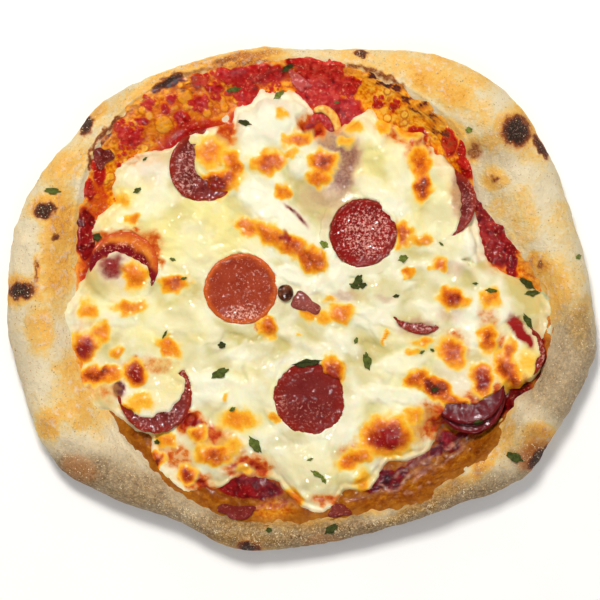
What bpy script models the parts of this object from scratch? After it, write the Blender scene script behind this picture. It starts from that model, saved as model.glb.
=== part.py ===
"""Salami pinsa: an uneven oval of baked dough with a puffed rim, a layer of tomato sauce,
a sheet of melted cheese and slices of dry salami, some lying on the cheese and some under it.

Metres, +Z up. The origin is under the middle of the pinsa, on the surface it rests on.
Places and sizes below are in millimetres: +X is the long way, +Y the short way.
"""
from math import cos, pi, radians, sin, tan

import bmesh
import bpy
import numpy as np
from mathutils import Matrix, Vector

MM = 0.001

# ---------------------------------------------------------------- driving sizes
BASE_THICKNESS = 7.0        # dough under the toppings
SAUCE_THICKNESS = 1.0
CHEESE_THICKNESS = 3.1      # plain sheet, before its lumps
SLICE_THICKNESS = 1.7
GAP = 0.3                   # clearance between two pieces that lie on each other
EQUATOR_SHARE = 0.42        # height of the rim's widest line, as a share of its crest
UNDERCUT = 5.0              # how far the rim overhangs the flat underside
EDGE_ROUNDING = 11.0        # power of the rounded edge of the cheese

# The rim every 15 degrees, anticlockwise from +X: radius of the outer edge, of the crest,
# of the edge of the toppings and of the foot of the inner slope, then the crest's height.
RIM_SECTIONS = (
    (116.1, 107.2, 98.0, 94.0, 19.0),
    (113.6, 100.8, 87.6, 82.0, 20.0),
    (114.7, 100.0, 82.0, 76.8, 21.0),
    (116.8, 102.4, 90.4, 78.0, 21.0),
    (112.2, 99.2, 92.8, 74.0, 20.0),
    (103.5, 97.6, 94.8, 82.0, 17.0),
    (100.0, 97.4, 96.4, 88.0, 13.5),
    (102.6, 98.6, 96.0, 82.0, 15.0),
    (106.2, 102.6, 101.2, 76.0, 16.0),
    (112.0, 105.6, 102.4, 80.0, 17.0),
    (114.3, 105.6, 98.8, 82.0, 18.0),
    (117.8, 105.6, 93.2, 86.0, 18.5),
    (117.0, 104.0, 90.0, 84.8, 18.5),
    (116.5, 104.8, 92.8, 84.8, 19.0),
    (118.0, 104.8, 89.6, 83.2, 20.0),
    (110.3, 100.0, 89.6, 82.0, 19.0),
    (101.6, 96.8, 92.0, 83.2, 17.0),
    (103.1, 97.2, 91.2, 84.0, 17.0),
    (99.1, 94.0, 88.8, 82.0, 16.0),
    (97.3, 93.2, 88.8, 82.0, 16.0),
    (100.2, 96.4, 93.2, 82.0, 17.0),
    (109.4, 100.8, 93.6, 84.8, 19.0),
    (114.3, 104.0, 92.8, 88.0, 21.0),
    (117.4, 109.6, 101.2, 95.2, 20.0),
)
# Small pinches and bulges of the outline: azimuth in degrees, half width in degrees, depth.
OUTLINE_DENTS = (
    (99.0, 6.0, 1.2),
    (144.0, 4.0, -2.0),
    (186.0, 6.0, 1.2),
    (217.0, 5.0, 1.6),
    (309.0, 4.0, -2.0),
    (323.0, 5.0, 2.4),
    (351.0, 6.0, 2.4),
)
# Blisters and puffed places of the dough: x, y, radius, height (a hollow is negative).
BLISTERS = (
    (85.6, 67.8, 6.5, 2.2),
    (77.2, 47.8, 4.5, 1.5),
    (94.8, 13.8, 4.5, 1.0),
    (-102.8, 35.8, 5.0, 1.2),
    (-111.6, 3.0, 4.5, 0.8),
    (92.8, -64.6, 7.0, 1.5),
    (-96.4, 49.8, 9.0, 1.5),
    (-102.0, -46.2, 6.0, 1.0),
    (-88.4, -46.2, 6.5, 1.2),
    (-21.2, -98.6, 6.0, 0.8),
    (-54.4, 73.8, 17.0, 2.4),
    (39.6, 77.8, 15.0, 2.0),
    (70.0, 58.2, 5.0, -2.6),
    (-80.0, -62.0, 10.0, 1.2),
    (87.6, -52.2, 10.0, 1.0),
    (107.6, 0.0, 9.0, 0.8),
)
# Edge of the cheese, as a radius every 10 degrees from +X.
CHEESE_EDGE = (
    97.0, 75.0, 68.8, 72.4, 75.6, 78.0, 78.4, 80.4, 66.0, 81.0, 82.0, 74.4,
    76.0, 78.4, 88.4, 88.4, 86.0, 86.0, 89.0, 89.6, 90.0, 86.0, 83.2, 87.4,
    88.0, 80.0, 72.0, 81.0, 82.0, 79.6, 78.0, 77.6, 78.0, 86.0, 96.0, 97.6,
)
# Lumps of the cheese: x, y, half length, half width, turn in degrees, height.
CHEESE_LUMPS = (
    (-11.6, 73.8, 14.0, 11.0, 20.0, 3.4),
    (30.0, 61.8, 13.0, 15.0, 0.0, 2.8),
    (-2.0, 56.0, 12.0, 9.0, 20.0, 1.6),
    (69.2, 21.8, 6.0, 8.0, 0.0, 1.8),
    (-33.0, 57.0, 9.0, 8.0, 0.0, 2.6),
    (-6.0, 24.6, 16.0, 4.6, -35.0, 1.4),
    (10.0, -6.6, 12.0, 4.0, -5.0, 1.2),
    (3.6, -72.0, 13.0, 11.0, 0.0, 1.9),
    (51.6, -34.2, 12.0, 6.5, -15.0, 2.0),
    (34.0, -54.2, 8.0, 7.0, 0.0, 1.9),
    (90.4, -24.6, 6.5, 8.0, 0.0, 2.6),
    (72.0, -20.0, 10.0, 10.0, 0.0, 1.6),
    (60.4, 0.2, 5.5, 5.5, 0.0, 1.4),
    (-34.4, -62.2, 6.5, 6.5, 0.0, 1.6),
    (-38.4, -75.0, 9.0, 4.5, -20.0, 1.4),
    (-87.6, -18.6, 5.5, 5.5, 0.0, 1.6),
    (23.6, -72.2, 4.5, 5.0, 0.0, 1.6),
    (-65.2, 9.8, 5.5, 5.0, 0.0, 1.2),
    (-60.0, 30.0, 18.0, 12.0, 0.0, 0.8),
)
# Slices of salami: x, y, radius, height of the middle, azimuth towards which the slice
# rises, its tilt in degrees, and how far its rim curls up.
SALAMI_SLICES = {
    "salami_slice_01": (-24.0, 4.2, 14.4, 12.2, 0.0, 0.0, 0.3),
    "salami_slice_02": (24.8, 26.6, 13.6, 12.3, 220.0, 2.0, 0.3),
    "salami_slice_03": (3.2, -39.4, 14.6, 12.4, 250.0, 1.5, -0.3),
    "salami_slice_04": (-38.4, 53.4, 14.4, 10.9, 195.0, 5.0, 0.4),
    "salami_slice_05": (-70.8, 13.0, 14.0, 10.9, 50.0, 5.0, 0.8),
    "salami_slice_06": (-58.4, -37.8, 15.2, 10.9, 285.0, 5.0, 0.6),
    "salami_slice_07": (65.6, -34.6, 15.2, 13.5, 300.0, 8.0, 0.5),
    "salami_slice_08": (67.6, -38.6, 14.4, 11.2, 300.0, 8.0, 0.5),
    "salami_slice_09": (86.4, -21.0, 11.0, 12.2, 350.0, 11.0, 0.4),
    "salami_slice_10": (11.6, 51.8, 13.6, 10.9, 60.0, 5.0, 0.3),
    "salami_slice_11": (55.6, 38.6, 14.4, 11.0, 15.0, 5.0, 0.3),
    "salami_slice_12": (47.6, -0.4, 13.2, 10.6, 270.0, 4.0, 0.3),
}
# Small loose pieces lying on the sauce or the cheese: x, y, half length, half width,
# thickness, turn in degrees, and the layer that carries the piece.
SMALL_PIECES = {
    "salami_piece_centre": (2.6, -0.6, 6.4, 3.6, 1.6, -22.0, "cheese"),
    "salami_piece_top": (-0.8, 87.4, 4.8, 2.4, 1.2, -42.0, "sauce"),
    "salami_piece_left": (-79.0, 56.6, 4.0, 3.4, 1.4, 35.0, "sauce"),
    "salami_piece_bottom_left": (-25.6, -84.6, 7.2, 2.6, 1.6, -6.0, "sauce"),
    "salami_piece_bottom_right": (15.2, -84.4, 4.2, 2.4, 1.4, 5.0, "sauce"),
    "olive_piece": (-6.2, 2.2, 2.8, 2.7, 3.6, 0.0, "cheese"),
}
# Herb leaves: x, y, half length, half width and turn in degrees.
LEAVES_ON_CHEESE = (
    (-8.8, 82.0, 2.6, 1.2, 40.0),
    (-22.6, 70.6, 2.8, 1.1, -15.0),
    (-32.4, -29.4, 3.7, 1.8, 25.0),
    (26.4, -24.6, 3.6, 1.7, -80.0),
    (22.8, 6.6, 3.2, 2.6, 10.0),
    (9.2, 22.0, 2.0, 1.3, -35.0),
    (40.8, 16.4, 2.0, 1.5, 20.0),
    (-18.4, -58.0, 3.8, 1.9, -55.0),
    (6.6, -69.8, 3.0, 1.2, -30.0),
    (-65.4, 43.6, 1.8, 1.3, 30.0),
    (76.0, 3.6, 2.4, 1.1, -5.0),
    (89.6, 4.4, 4.2, 1.8, -25.0),
    (90.6, -4.6, 3.6, 1.6, -60.0),
    (-31.6, -18.2, 1.8, 1.7, 0.0),
)
LEAVES_ON_CRUST = (
    (-98.8, 43.2, 3.4, 1.5, -5.0),
    (84.8, -62.6, 3.6, 2.0, -25.0),
    (12.0, -91.4, 3.0, 1.9, 35.0),
    (-12.8, -91.8, 1.5, 1.2, 0.0),
)
LEAF_THICKNESS = 1.0
# The curled strip of yellow cheese: points of its middle line, its width and thickness.
SHRED_LINE = ((5.0, 75.4), (8.6, 76.8), (12.6, 74.2), (14.6, 69.8), (14.4, 66.6))
SHRED_WIDTH = 3.4
SHRED_THICKNESS = 1.8

AROUND = 96                 # points round the dough and the sauce
CHEESE_AROUND = 84
SLICE_AROUND = 20


# ---------------------------------------------------------------- the shape of the food
def round_the_clock(values, azimuth):
    """Smooth closed curve through values spread evenly over the full turn (Catmull-Rom)."""
    table = np.asarray(values, dtype=float)
    count = len(table)
    place = (azimuth / (2.0 * pi) * count) % count
    index = np.floor(place).astype(int)
    t = place - index
    before, here, after, beyond = (table[(index + step) % count] for step in (-1, 0, 1, 2))
    return here + 0.5 * t * (after - before + t * (
        2.0 * before - 5.0 * here + 4.0 * after - beyond
        + t * (3.0 * (here - after) + beyond - before)))


def rim_section(azimuth):
    """Radii of outer edge, crest, topping edge and foot, and the crest height."""
    outer, crest, edge, foot, height = (
        round_the_clock(column, azimuth) for column in zip(*RIM_SECTIONS))
    for middle, half_width, depth in OUTLINE_DENTS:
        away = (np.degrees(azimuth) - middle + 180.0) % 360.0 - 180.0
        outer = outer + depth * np.exp(-(away / half_width) ** 2)
    return outer, crest, edge, foot, height


def blister_height(x, y):
    """Sum of round bell shapes, one for each blister."""
    total = np.zeros_like(x)
    for bx, by, radius, height in BLISTERS:
        total = total + height * np.exp(-2.0 * ((x - bx) ** 2 + (y - by) ** 2) / radius ** 2)
    return total


def crust_height(x, y):
    """Top of the dough: flat base, cosine slope up to the crest, quarter ellipse outside."""
    azimuth = np.arctan2(y, x)
    radius = np.hypot(x, y)
    outer, crest, _edge, foot, height = rim_section(azimuth)
    up = np.clip((radius - foot) / (crest - foot), 0.0, 1.0)
    inside = BASE_THICKNESS + (height - BASE_THICKNESS) * 0.5 * (1.0 - np.cos(pi * up))
    down = np.clip((radius - crest) / (outer - crest), 0.0, 1.0)
    equator = EQUATOR_SHARE * height
    outside = equator + (height - equator) * np.sqrt(1.0 - down ** 2)
    top = np.where(radius > crest, outside, inside)
    return top + blister_height(x, y) * np.clip(3.0 * (1.0 - down), 0.0, 1.0)


def sauce_height(x, y):
    """Top of the sauce, which follows the dough."""
    return crust_height(x, y) + GAP + SAUCE_THICKNESS


def cheese_height(x, y):
    """Top of the cheese: the sauce below, a sheet with a rounded edge, and its lumps."""
    share = np.hypot(x, y) / round_the_clock(CHEESE_EDGE, np.arctan2(y, x))
    sheet = np.full_like(x, CHEESE_THICKNESS)
    for lx, ly, half_length, half_width, turn, height in CHEESE_LUMPS:
        along = (x - lx) * cos(radians(turn)) + (y - ly) * sin(radians(turn))
        across = (y - ly) * cos(radians(turn)) - (x - lx) * sin(radians(turn))
        sheet = sheet + height * np.exp(
            -1.3 * ((along / half_length) ** 2 + (across / half_width) ** 2))
    rounded = np.sqrt(np.clip(1.0 - share ** EDGE_ROUNDING, 0.0, 1.0))
    return sauce_height(x, y) + GAP + sheet * rounded


LAYER_TOPS = {"sauce": sauce_height, "cheese": cheese_height, "crust": crust_height}


# ---------------------------------------------------------------- building tools
def linear_colour(hex_colour):
    """Linear RGBA of an sRGB hex colour."""
    channels = [int(hex_colour[i:i + 2], 16) / 255.0 for i in (1, 3, 5)]
    linear = [c / 12.92 if c <= 0.04045 else ((c + 0.055) / 1.055) ** 2.4 for c in channels]
    return (*linear, 1.0)


def make_material(name, hex_colour, roughness):
    """Plain Principled material with the food's mean colour."""
    material = bpy.data.materials.new(name)
    material.use_nodes = True
    shader = material.node_tree.nodes["Principled BSDF"]
    shader.inputs["Base Color"].default_value = linear_colour(hex_colour)
    shader.inputs["Roughness"].default_value = roughness
    material.diffuse_color = linear_colour(hex_colour)
    return material


def collection_named(name):
    """New collection in the scene."""
    collection = bpy.data.collections.new(name)
    bpy.context.scene.collection.children.link(collection)
    return collection


def add_object(name, bm, material, collection):
    """Object from a bmesh, shaded smooth, in the given collection."""
    mesh = bpy.data.meshes.new(name)
    bm.to_mesh(mesh)
    bm.free()
    mesh.shade_smooth()
    if material is not None:
        mesh.materials.append(material)
    obj = bpy.data.objects.new(name, mesh)
    collection.objects.link(obj)
    return obj


def split_alike(bm):
    """Cut each four-sided face along the diagonal that runs outwards and anticlockwise."""
    for face in [f for f in bm.faces if len(f.verts) == 4]:
        middle = face.calc_center_median()
        sideways = Vector((-middle.y, middle.x, 0.0)).normalized()
        outward = Vector((middle.x, middle.y, 0.0)).normalized()

        def rank(vert):
            offset = vert.co - middle
            return offset.dot(sideways), offset.dot(outward)

        by_side = sorted(face.verts, key=rank)
        start = min(by_side[:2], key=lambda v: rank(v)[1])
        end = max(by_side[2:], key=lambda v: rank(v)[1])
        if not any(start in edge.verts and end in edge.verts for edge in face.edges):
            bmesh.utils.face_split(face, start, end)


def ball_rings(bm, rings):
    """Yield each vertex of a ball with its azimuth and its ring, 0 at the top pole."""
    for vert in bm.verts:
        azimuth = np.arctan2(vert.co.y, vert.co.x)
        ring = round(vert.co.angle(Vector((0.0, 0.0, 1.0))) / pi * rings)
        yield vert, azimuth, ring


def at(radius, azimuth):
    """Plan position of a polar point."""
    return radius * np.cos(azimuth), radius * np.sin(azimuth)


# ---------------------------------------------------------------- dough
# Share of each ring on its stretch of the section: base, inner slope to the topping edge,
# on to the crest, then angles down the outer wall and round to the flat underside.
BASE_SHARES = (0.0, 0.55, 1.0)
SLOPE_SHARES = (0.35, 0.7, 1.0)
TOP_SHARES = (0.5, 1.0)
WALL_ANGLES = (25.0, 47.0, 68.0, 90.0)
TURN_ANGLES = (30.0, 62.0, 90.0)
UNDERSIDE_SHARES = (0.6, 0.0)
DOUGH_RINGS = sum(map(len, (
    BASE_SHARES, SLOPE_SHARES, TOP_SHARES, WALL_ANGLES, TURN_ANGLES, UNDERSIDE_SHARES))) - 1


def dough_section(azimuth):
    """Points (radius, height) of one section of the dough, from top middle to underside."""
    outer, crest, edge, foot, height = rim_section(azimuth)
    equator = EQUATOR_SHARE * height
    radii = [foot * share for share in BASE_SHARES]
    radii += [foot + (edge - foot) * share for share in SLOPE_SHARES]
    radii += [edge + (crest - edge) * share for share in TOP_SHARES]
    radii += [crest + (outer - crest) * sin(radians(angle)) for angle in WALL_ANGLES]
    section = [(radius, float(crust_height(*map(np.float64, at(radius, azimuth)))))
               for radius in radii]
    section[-1] = (outer, equator)
    for angle in TURN_ANGLES:
        below = radians(angle)
        section.append((outer - UNDERCUT * (1.0 - cos(below)), equator * (1.0 - sin(below))))
    section += [((outer - UNDERCUT) * share, 0.0) for share in UNDERSIDE_SHARES]
    return section


def build_dough(material, collection):
    """One ball of rings, each ring moved to its place on the section."""
    bm = bmesh.new()
    bmesh.ops.create_uvsphere(bm, u_segments=AROUND, v_segments=DOUGH_RINGS, radius=1.0)
    sections = {}
    for vert, azimuth, ring in ball_rings(bm, DOUGH_RINGS):
        key = round(azimuth, 5)
        if key not in sections:
            sections[key] = dough_section(azimuth)
        radius, height = sections[key][ring]
        x, y = at(radius, azimuth)
        vert.co = Vector((x, y, height)) * MM
    split_alike(bm)
    return add_object("dough", bm, material, collection)


# ---------------------------------------------------------------- tomato sauce
SAUCE_SHARES = (0.0, 1.0) + tuple(1.0 + share for share in SLOPE_SHARES)


def build_sauce(material, collection):
    """Thin skin over the base and the inner slope, on the same rings as the dough."""
    rings = 2 * (len(SAUCE_SHARES) - 1)
    bm = bmesh.new()
    bmesh.ops.create_uvsphere(bm, u_segments=AROUND, v_segments=rings, radius=1.0)
    for vert, azimuth, ring in ball_rings(bm, rings):
        _outer, _crest, edge, foot, _height = rim_section(azimuth)
        share = SAUCE_SHARES[min(ring, rings - ring)]
        radius = foot * min(share, 1.0) + (edge - foot) * max(share - 1.0, 0.0)
        x, y = map(np.float64, at(radius, azimuth))
        height = crust_height(x, y) + GAP
        if ring < rings // 2:
            height += SAUCE_THICKNESS
        vert.co = Vector((x, y, height)) * MM
    split_alike(bm)
    return add_object("tomato_sauce", bm, material, collection)


# ---------------------------------------------------------------- melted cheese
CHEESE_TOP_SHARES = (0.0, 0.1, 0.2, 0.3, 0.4, 0.5, 0.59, 0.68, 0.76, 0.83, 0.89, 0.94, 0.975, 1.0)
CHEESE_UNDER_SHARES = (0.93, 0.8, 0.0)
CHEESE_LIFT = 0.35          # extra room under the cheese on the slope


def build_cheese(material, collection):
    """A lumpy sheet with a rounded edge, flat underneath where the sauce is flat."""
    rings = len(CHEESE_TOP_SHARES) + len(CHEESE_UNDER_SHARES) - 1
    bm = bmesh.new()
    bmesh.ops.create_uvsphere(bm, u_segments=CHEESE_AROUND, v_segments=rings, radius=1.0)
    for vert, azimuth, ring in ball_rings(bm, rings):
        limit = round_the_clock(CHEESE_EDGE, azimuth)
        if ring < len(CHEESE_TOP_SHARES):
            x, y = map(np.float64, at(limit * CHEESE_TOP_SHARES[ring], azimuth))
            height = cheese_height(x, y) + CHEESE_LIFT
        else:
            share = CHEESE_UNDER_SHARES[ring - len(CHEESE_TOP_SHARES)]
            x, y = map(np.float64, at(limit * share, azimuth))
            height = sauce_height(x, y) + GAP + CHEESE_LIFT
        vert.co = Vector((x, y, height)) * MM
    split_alike(bm)
    return add_object("melted_cheese", bm, material, collection)


# ---------------------------------------------------------------- salami slices
# Rings of a slice: share of the radius and of half the thickness.
SLICE_RINGS = ((0.0, 1.0), (0.96, 0.9), (1.0, 0.0), (0.96, -0.9), (0.0, -1.0))
POCKET_RINGS = ((0.0, 1.0), (1.0, 1.0), (1.0, -1.0), (0.0, -1.0))


def build_slice(name, spec, section, clearance, material, collection):
    """A thin round slice, tilted and curled; clearance swells it into its pocket."""
    x0, y0, radius, middle, rise_azimuth, tilt, curl = spec
    rings = len(section) - 1
    bm = bmesh.new()
    bmesh.ops.create_uvsphere(bm, u_segments=SLICE_AROUND, v_segments=rings, radius=1.0)
    slope = tan(radians(tilt))
    for vert, azimuth, ring in ball_rings(bm, rings):
        share, level = section[ring]
        uneven = 1.0 + 0.018 * sin(2.0 * azimuth + x0) + 0.012 * sin(3.0 * azimuth + y0)
        reach = share * (radius * uneven + clearance)
        dx, dy = at(reach, azimuth)
        rise = slope * (dx * cos(radians(rise_azimuth)) + dy * sin(radians(rise_azimuth)))
        height = middle + rise + curl * share ** 2
        height += level * (0.5 * SLICE_THICKNESS + clearance)
        vert.co = Vector((x0 + dx, y0 + dy, height)) * MM
    return add_object(name, bm, material, collection)


# ---------------------------------------------------------------- small pieces and leaves
def build_pebble(name, spec, around, rings, surface, lift, material, collection):
    """A flat pebble shape draped on a surface: its underside follows what carries it."""
    x0, y0, half_length, half_width, thickness, turn = spec
    bm = bmesh.new()
    bmesh.ops.create_uvsphere(bm, u_segments=around, v_segments=rings, radius=1.0)
    cos_turn, sin_turn = cos(radians(turn)), sin(radians(turn))
    for vert in bm.verts:
        along, across = vert.co.x * half_length, vert.co.y * half_width
        x = np.float64(x0 + along * cos_turn - across * sin_turn)
        y = np.float64(y0 + along * sin_turn + across * cos_turn)
        height = surface(x, y) + lift + 0.5 * thickness * (1.0 + vert.co.z)
        vert.co = Vector((x, y, height)) * MM
    return add_object(name, bm, material, collection)


def build_shred(name, material, collection):
    """A strip of cheese along a curved middle line, draped on the sauce."""
    bm = bmesh.new()
    steps, around = 12, 8
    line = np.array(SHRED_LINE)
    along = np.linspace(0.0, len(line) - 1.0, steps + 1)
    centre_x = np.interp(along, range(len(line)), line[:, 0])
    centre_y = np.interp(along, range(len(line)), line[:, 1])
    bmesh.ops.create_cone(bm, cap_ends=True, cap_tris=True, segments=around,
                          radius1=1.0, radius2=1.0, depth=float(steps))
    long_edges = [e for e in bm.edges if abs(e.verts[0].co.z - e.verts[1].co.z) > 0.5 * steps]
    bmesh.ops.subdivide_edges(bm, edges=long_edges, cuts=steps - 1)
    heading = np.arctan2(np.gradient(centre_y), np.gradient(centre_x))
    for vert in bm.verts:
        step = int(round(vert.co.z + 0.5 * steps))
        swell = 0.35 + 0.65 * sin(pi * (step + 0.6) / (steps + 1.2)) ** 0.5
        aside = vert.co.x * 0.5 * SHRED_WIDTH * swell
        x = centre_x[step] - aside * sin(heading[step])
        y = centre_y[step] + aside * cos(heading[step])
        height = sauce_height(x, y) + 1.8 * GAP + 0.5 * SHRED_THICKNESS * (1.0 + vert.co.y * swell)
        vert.co = Vector((x, y, height)) * MM
    bmesh.ops.recalc_face_normals(bm, faces=bm.faces)
    return add_object(name, bm, material, collection)


# ---------------------------------------------------------------- joining and cutting
def apply_boolean(obj, operation, collection):
    """Apply one Boolean with a collection, keep the largest body and remove the others."""
    modifier = obj.modifiers.new(operation.title(), "BOOLEAN")
    modifier.operation = operation
    modifier.operand_type = "COLLECTION"
    modifier.collection = collection
    modifier.solver = "EXACT"
    graph = bpy.context.evaluated_depsgraph_get()
    mesh = bpy.data.meshes.new_from_object(obj.evaluated_get(graph))
    obj.modifiers.clear()
    obj.data = mesh
    keep_largest_body(mesh)
    for tool in list(collection.objects):
        bpy.data.objects.remove(tool)


def keep_largest_body(mesh):
    """Drop loose scraps that a cut leaves behind."""
    bm = bmesh.new()
    bm.from_mesh(mesh)
    bmesh.ops.triangulate(bm, faces=bm.faces)
    unseen = set(bm.verts)
    bodies = []
    while unseen:
        body = set()
        front = [next(iter(unseen))]
        while front:
            vert = front.pop()
            if vert in body:
                continue
            body.add(vert)
            front.extend(edge.other_vert(vert) for edge in vert.link_edges)
        unseen -= body
        bodies.append(body)
    bodies.sort(key=len)
    scraps = [vert for body in bodies[:-1] for vert in body]
    bmesh.ops.delete(bm, geom=scraps, context="VERTS")
    bmesh.ops.triangulate(bm, faces=bm.faces)
    bm.to_mesh(mesh)
    bm.free()


# ---------------------------------------------------------------- assembly
def build_pinsa():
    """Clear the scene, then build every piece of the pinsa."""
    for obj in list(bpy.data.objects):
        bpy.data.objects.remove(obj)
    pinsa = collection_named("salami_pinsa")
    pockets = collection_named("pocket_cutters")
    cheese_leaves = collection_named("leaves_on_cheese")
    crust_leaves = collection_named("leaves_on_crust")

    crust = make_material("baked_dough", "#D9B079", 0.75)
    sauce = make_material("tomato_sauce", "#B3121A", 0.25)
    cheese = make_material("melted_cheese", "#EFE9C4", 0.35)
    salami = make_material("dry_salami", "#9A3A32", 0.4)
    yellow = make_material("yellow_cheese", "#F0B440", 0.35)
    dark = make_material("black_olive", "#3A2420", 0.3)

    dough = build_dough(crust, pinsa)
    build_sauce(sauce, pinsa)
    melted = build_cheese(cheese, pinsa)

    for name, spec in SALAMI_SLICES.items():
        build_slice(name, spec, SLICE_RINGS, 0.0, salami, pinsa)
        build_slice(name + "_pocket", spec, POCKET_RINGS, 1.2 * GAP, None, pockets)
    for name, (x, y, length, width, thickness, turn, layer) in SMALL_PIECES.items():
        spec = (x, y, length, width, thickness, turn)
        room = (x, y, length + 1.2 * GAP, width + 1.2 * GAP, thickness + 2.4 * GAP, turn)
        material = dark if name == "olive_piece" else salami
        lift = 1.6 * GAP if layer == "sauce" else -0.35 * thickness + CHEESE_LIFT
        build_pebble(name, spec, 10, 4, LAYER_TOPS[layer], lift, material, pinsa)
        build_pebble(name + "_pocket", room, 10, 4, LAYER_TOPS[layer], lift - 1.2 * GAP, None, pockets)
    build_shred("cheese_shred", yellow, pinsa)

    for number, (x, y, length, width, turn) in enumerate(LEAVES_ON_CHEESE):
        spec = (x, y, length, width, LEAF_THICKNESS, turn)
        build_pebble(f"cheese_leaf_{number}", spec, 6, 4, cheese_height,
                     CHEESE_LIFT - 0.35 * LEAF_THICKNESS, None, cheese_leaves)
    for number, (x, y, length, width, turn) in enumerate(LEAVES_ON_CRUST):
        spec = (x, y, length, width, LEAF_THICKNESS, turn)
        build_pebble(f"crust_leaf_{number}", spec, 6, 4, crust_height,
                     -0.35 * LEAF_THICKNESS, None, crust_leaves)

    apply_boolean(melted, "DIFFERENCE", pockets)
    apply_boolean(melted, "UNION", cheese_leaves)
    apply_boolean(dough, "UNION", crust_leaves)
    for tools in (pockets, cheese_leaves, crust_leaves):
        bpy.data.collections.remove(tools)

    corners = np.array([vert.co for vert in dough.data.vertices])
    middle = 0.5 * (corners.min(axis=0) + corners.max(axis=0))
    to_middle = Matrix.Translation((-middle[0], -middle[1], 0.0))
    for obj in pinsa.objects:
        obj.data.transform(to_middle)


build_pinsa()
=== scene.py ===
"""Looks of the salami pinsa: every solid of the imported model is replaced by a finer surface
that follows it, with the materials of the real food. Metres in the model, millimetres below.

Places on the food are counted on a layout grid of 0.4 mm squares: so many squares across
from the left and so many down from the top. The middle of the grid is over the pinsa.
A spot on it has its place across and down, half length, half width, turn in degrees and
strength. A line has its strength, and then the place and the half width of each point.
"""
from functools import partial
from math import atan2, cos, degrees, hypot, pi, radians, sin, tan
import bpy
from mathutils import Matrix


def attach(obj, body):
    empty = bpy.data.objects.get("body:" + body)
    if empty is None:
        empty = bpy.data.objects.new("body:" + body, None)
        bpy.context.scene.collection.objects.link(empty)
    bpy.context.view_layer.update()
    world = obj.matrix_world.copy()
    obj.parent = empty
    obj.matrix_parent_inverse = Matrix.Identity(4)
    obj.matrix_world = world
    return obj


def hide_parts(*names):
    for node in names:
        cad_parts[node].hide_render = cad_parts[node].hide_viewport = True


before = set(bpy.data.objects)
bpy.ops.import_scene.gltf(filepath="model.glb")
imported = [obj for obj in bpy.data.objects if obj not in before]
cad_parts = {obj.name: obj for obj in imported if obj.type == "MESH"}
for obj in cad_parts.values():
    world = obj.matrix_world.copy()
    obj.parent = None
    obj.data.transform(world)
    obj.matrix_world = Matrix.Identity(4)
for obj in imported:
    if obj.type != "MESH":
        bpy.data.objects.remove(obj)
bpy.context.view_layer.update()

from types import SimpleNamespace

import bpy
import numpy as np
from mathutils import Vector

# ---------------------------------------------------------------- baked dough
# The base and rim of a pinsa: wheat dough stretched by hand and baked on stone, so it is
# puffed unevenly, floury and pale in places, golden or charred where it stood highest.
# The rim's outer edge, crest, edge of the toppings and foot of the inner slope are given
# every 15 degrees, and a closed curve through them gives every other section.
MM = 0.001
SQUARE = 0.4
MIDDLE_ACROSS, MIDDLE_DOWN = 301.0, 299.5
BASE_THICKNESS = 7.0
EQUATOR_SHARE = 0.42
UNDERCUT = 5.0
LIP_SETBACK, LIP_WIDTH = 1.2, 1.1
WAVE_HEIGHT, WAVE_LENGTH = 0.45, 12.0
CRAG_HEIGHT, CRAG_SIZE = 0.42, 6.5
CRUMB_HEIGHT, CRUMB_SIZE = 0.12, 1.8
RIM_SECTIONS = (
    (116.1, 107.2, 98, 94, 19), (113.6, 100.8, 87.6, 82, 20), (114.7, 100, 82, 76.8, 21),
    (116.8, 102.4, 90.4, 78, 21), (112.2, 99.2, 92.8, 74, 20), (103.5, 97.6, 94.8, 82, 17),
    (100, 97.4, 96.4, 88, 13.5), (102.6, 98.6, 96, 82, 15), (106.2, 102.6, 101.2, 76, 16),
    (112, 105.6, 102.4, 80, 17), (114.3, 105.6, 98.8, 82, 18), (117.8, 105.6, 93.2, 86, 18.5),
    (117, 104, 90, 84.8, 18.5), (116.5, 104.8, 92.8, 84.8, 19), (118, 104.8, 89.6, 83.2, 20),
    (110.3, 100, 89.6, 82, 19), (101.6, 96.8, 92, 83.2, 17), (103.1, 97.2, 91.2, 84, 17),
    (99.1, 94, 88.8, 82, 16), (97.3, 93.2, 88.8, 82, 16), (100.2, 96.4, 93.2, 82, 17),
    (109.4, 100.8, 93.6, 84.8, 19), (114.3, 104, 92.8, 88, 21), (117.4, 109.6, 101.2, 95.2, 20),
)
# Azimuth and half width in degrees, depth.
OUTLINE_DENTS = (
    (99, 6, 1.2), (144, 4, -2), (186, 6, 1.2), (217, 5, 1.6), (309, 4, -2), (323, 5, 2.4),
    (351, 6, 2.4),
)
# x, y, radius, height.
BLISTERS = (
    (85.6, 67.8, 6.5, 2.2), (77.2, 47.8, 4.5, 1.5), (94.8, 13.8, 4.5, 1), (-102.8, 35.8, 5, 1.2),
    (-111.6, 3, 4.5, 0.8), (92.8, -64.6, 7, 1.5), (-96.4, 49.8, 9, 1.5), (-102, -46.2, 6, 1),
    (-88.4, -46.2, 6.5, 1.2), (-21.2, -98.6, 6, 0.8), (-54.4, 73.8, 17, 2.4), (39.6, 77.8, 15, 2),
    (70, 58.2, 5, -2.6), (-80, -62, 10, 1.2), (87.6, -52.2, 10, 1), (107.6, 0, 9, 0.8),
)
# Height of the thin lip where the rim meets the toppings, every 15 degrees.
LIP_HEIGHTS = (
    0.3, 0.2, 0.3, 0.6, 0.8, 0.5, 0, 0.4, 0.8, 1, 0.8, 0.3, 0.2, 0.2, 0.6, 0.9, 0.9, 0.5, 0.4, 0.6,
    0.8, 0.7, 0.4, 0.2,
)
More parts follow.
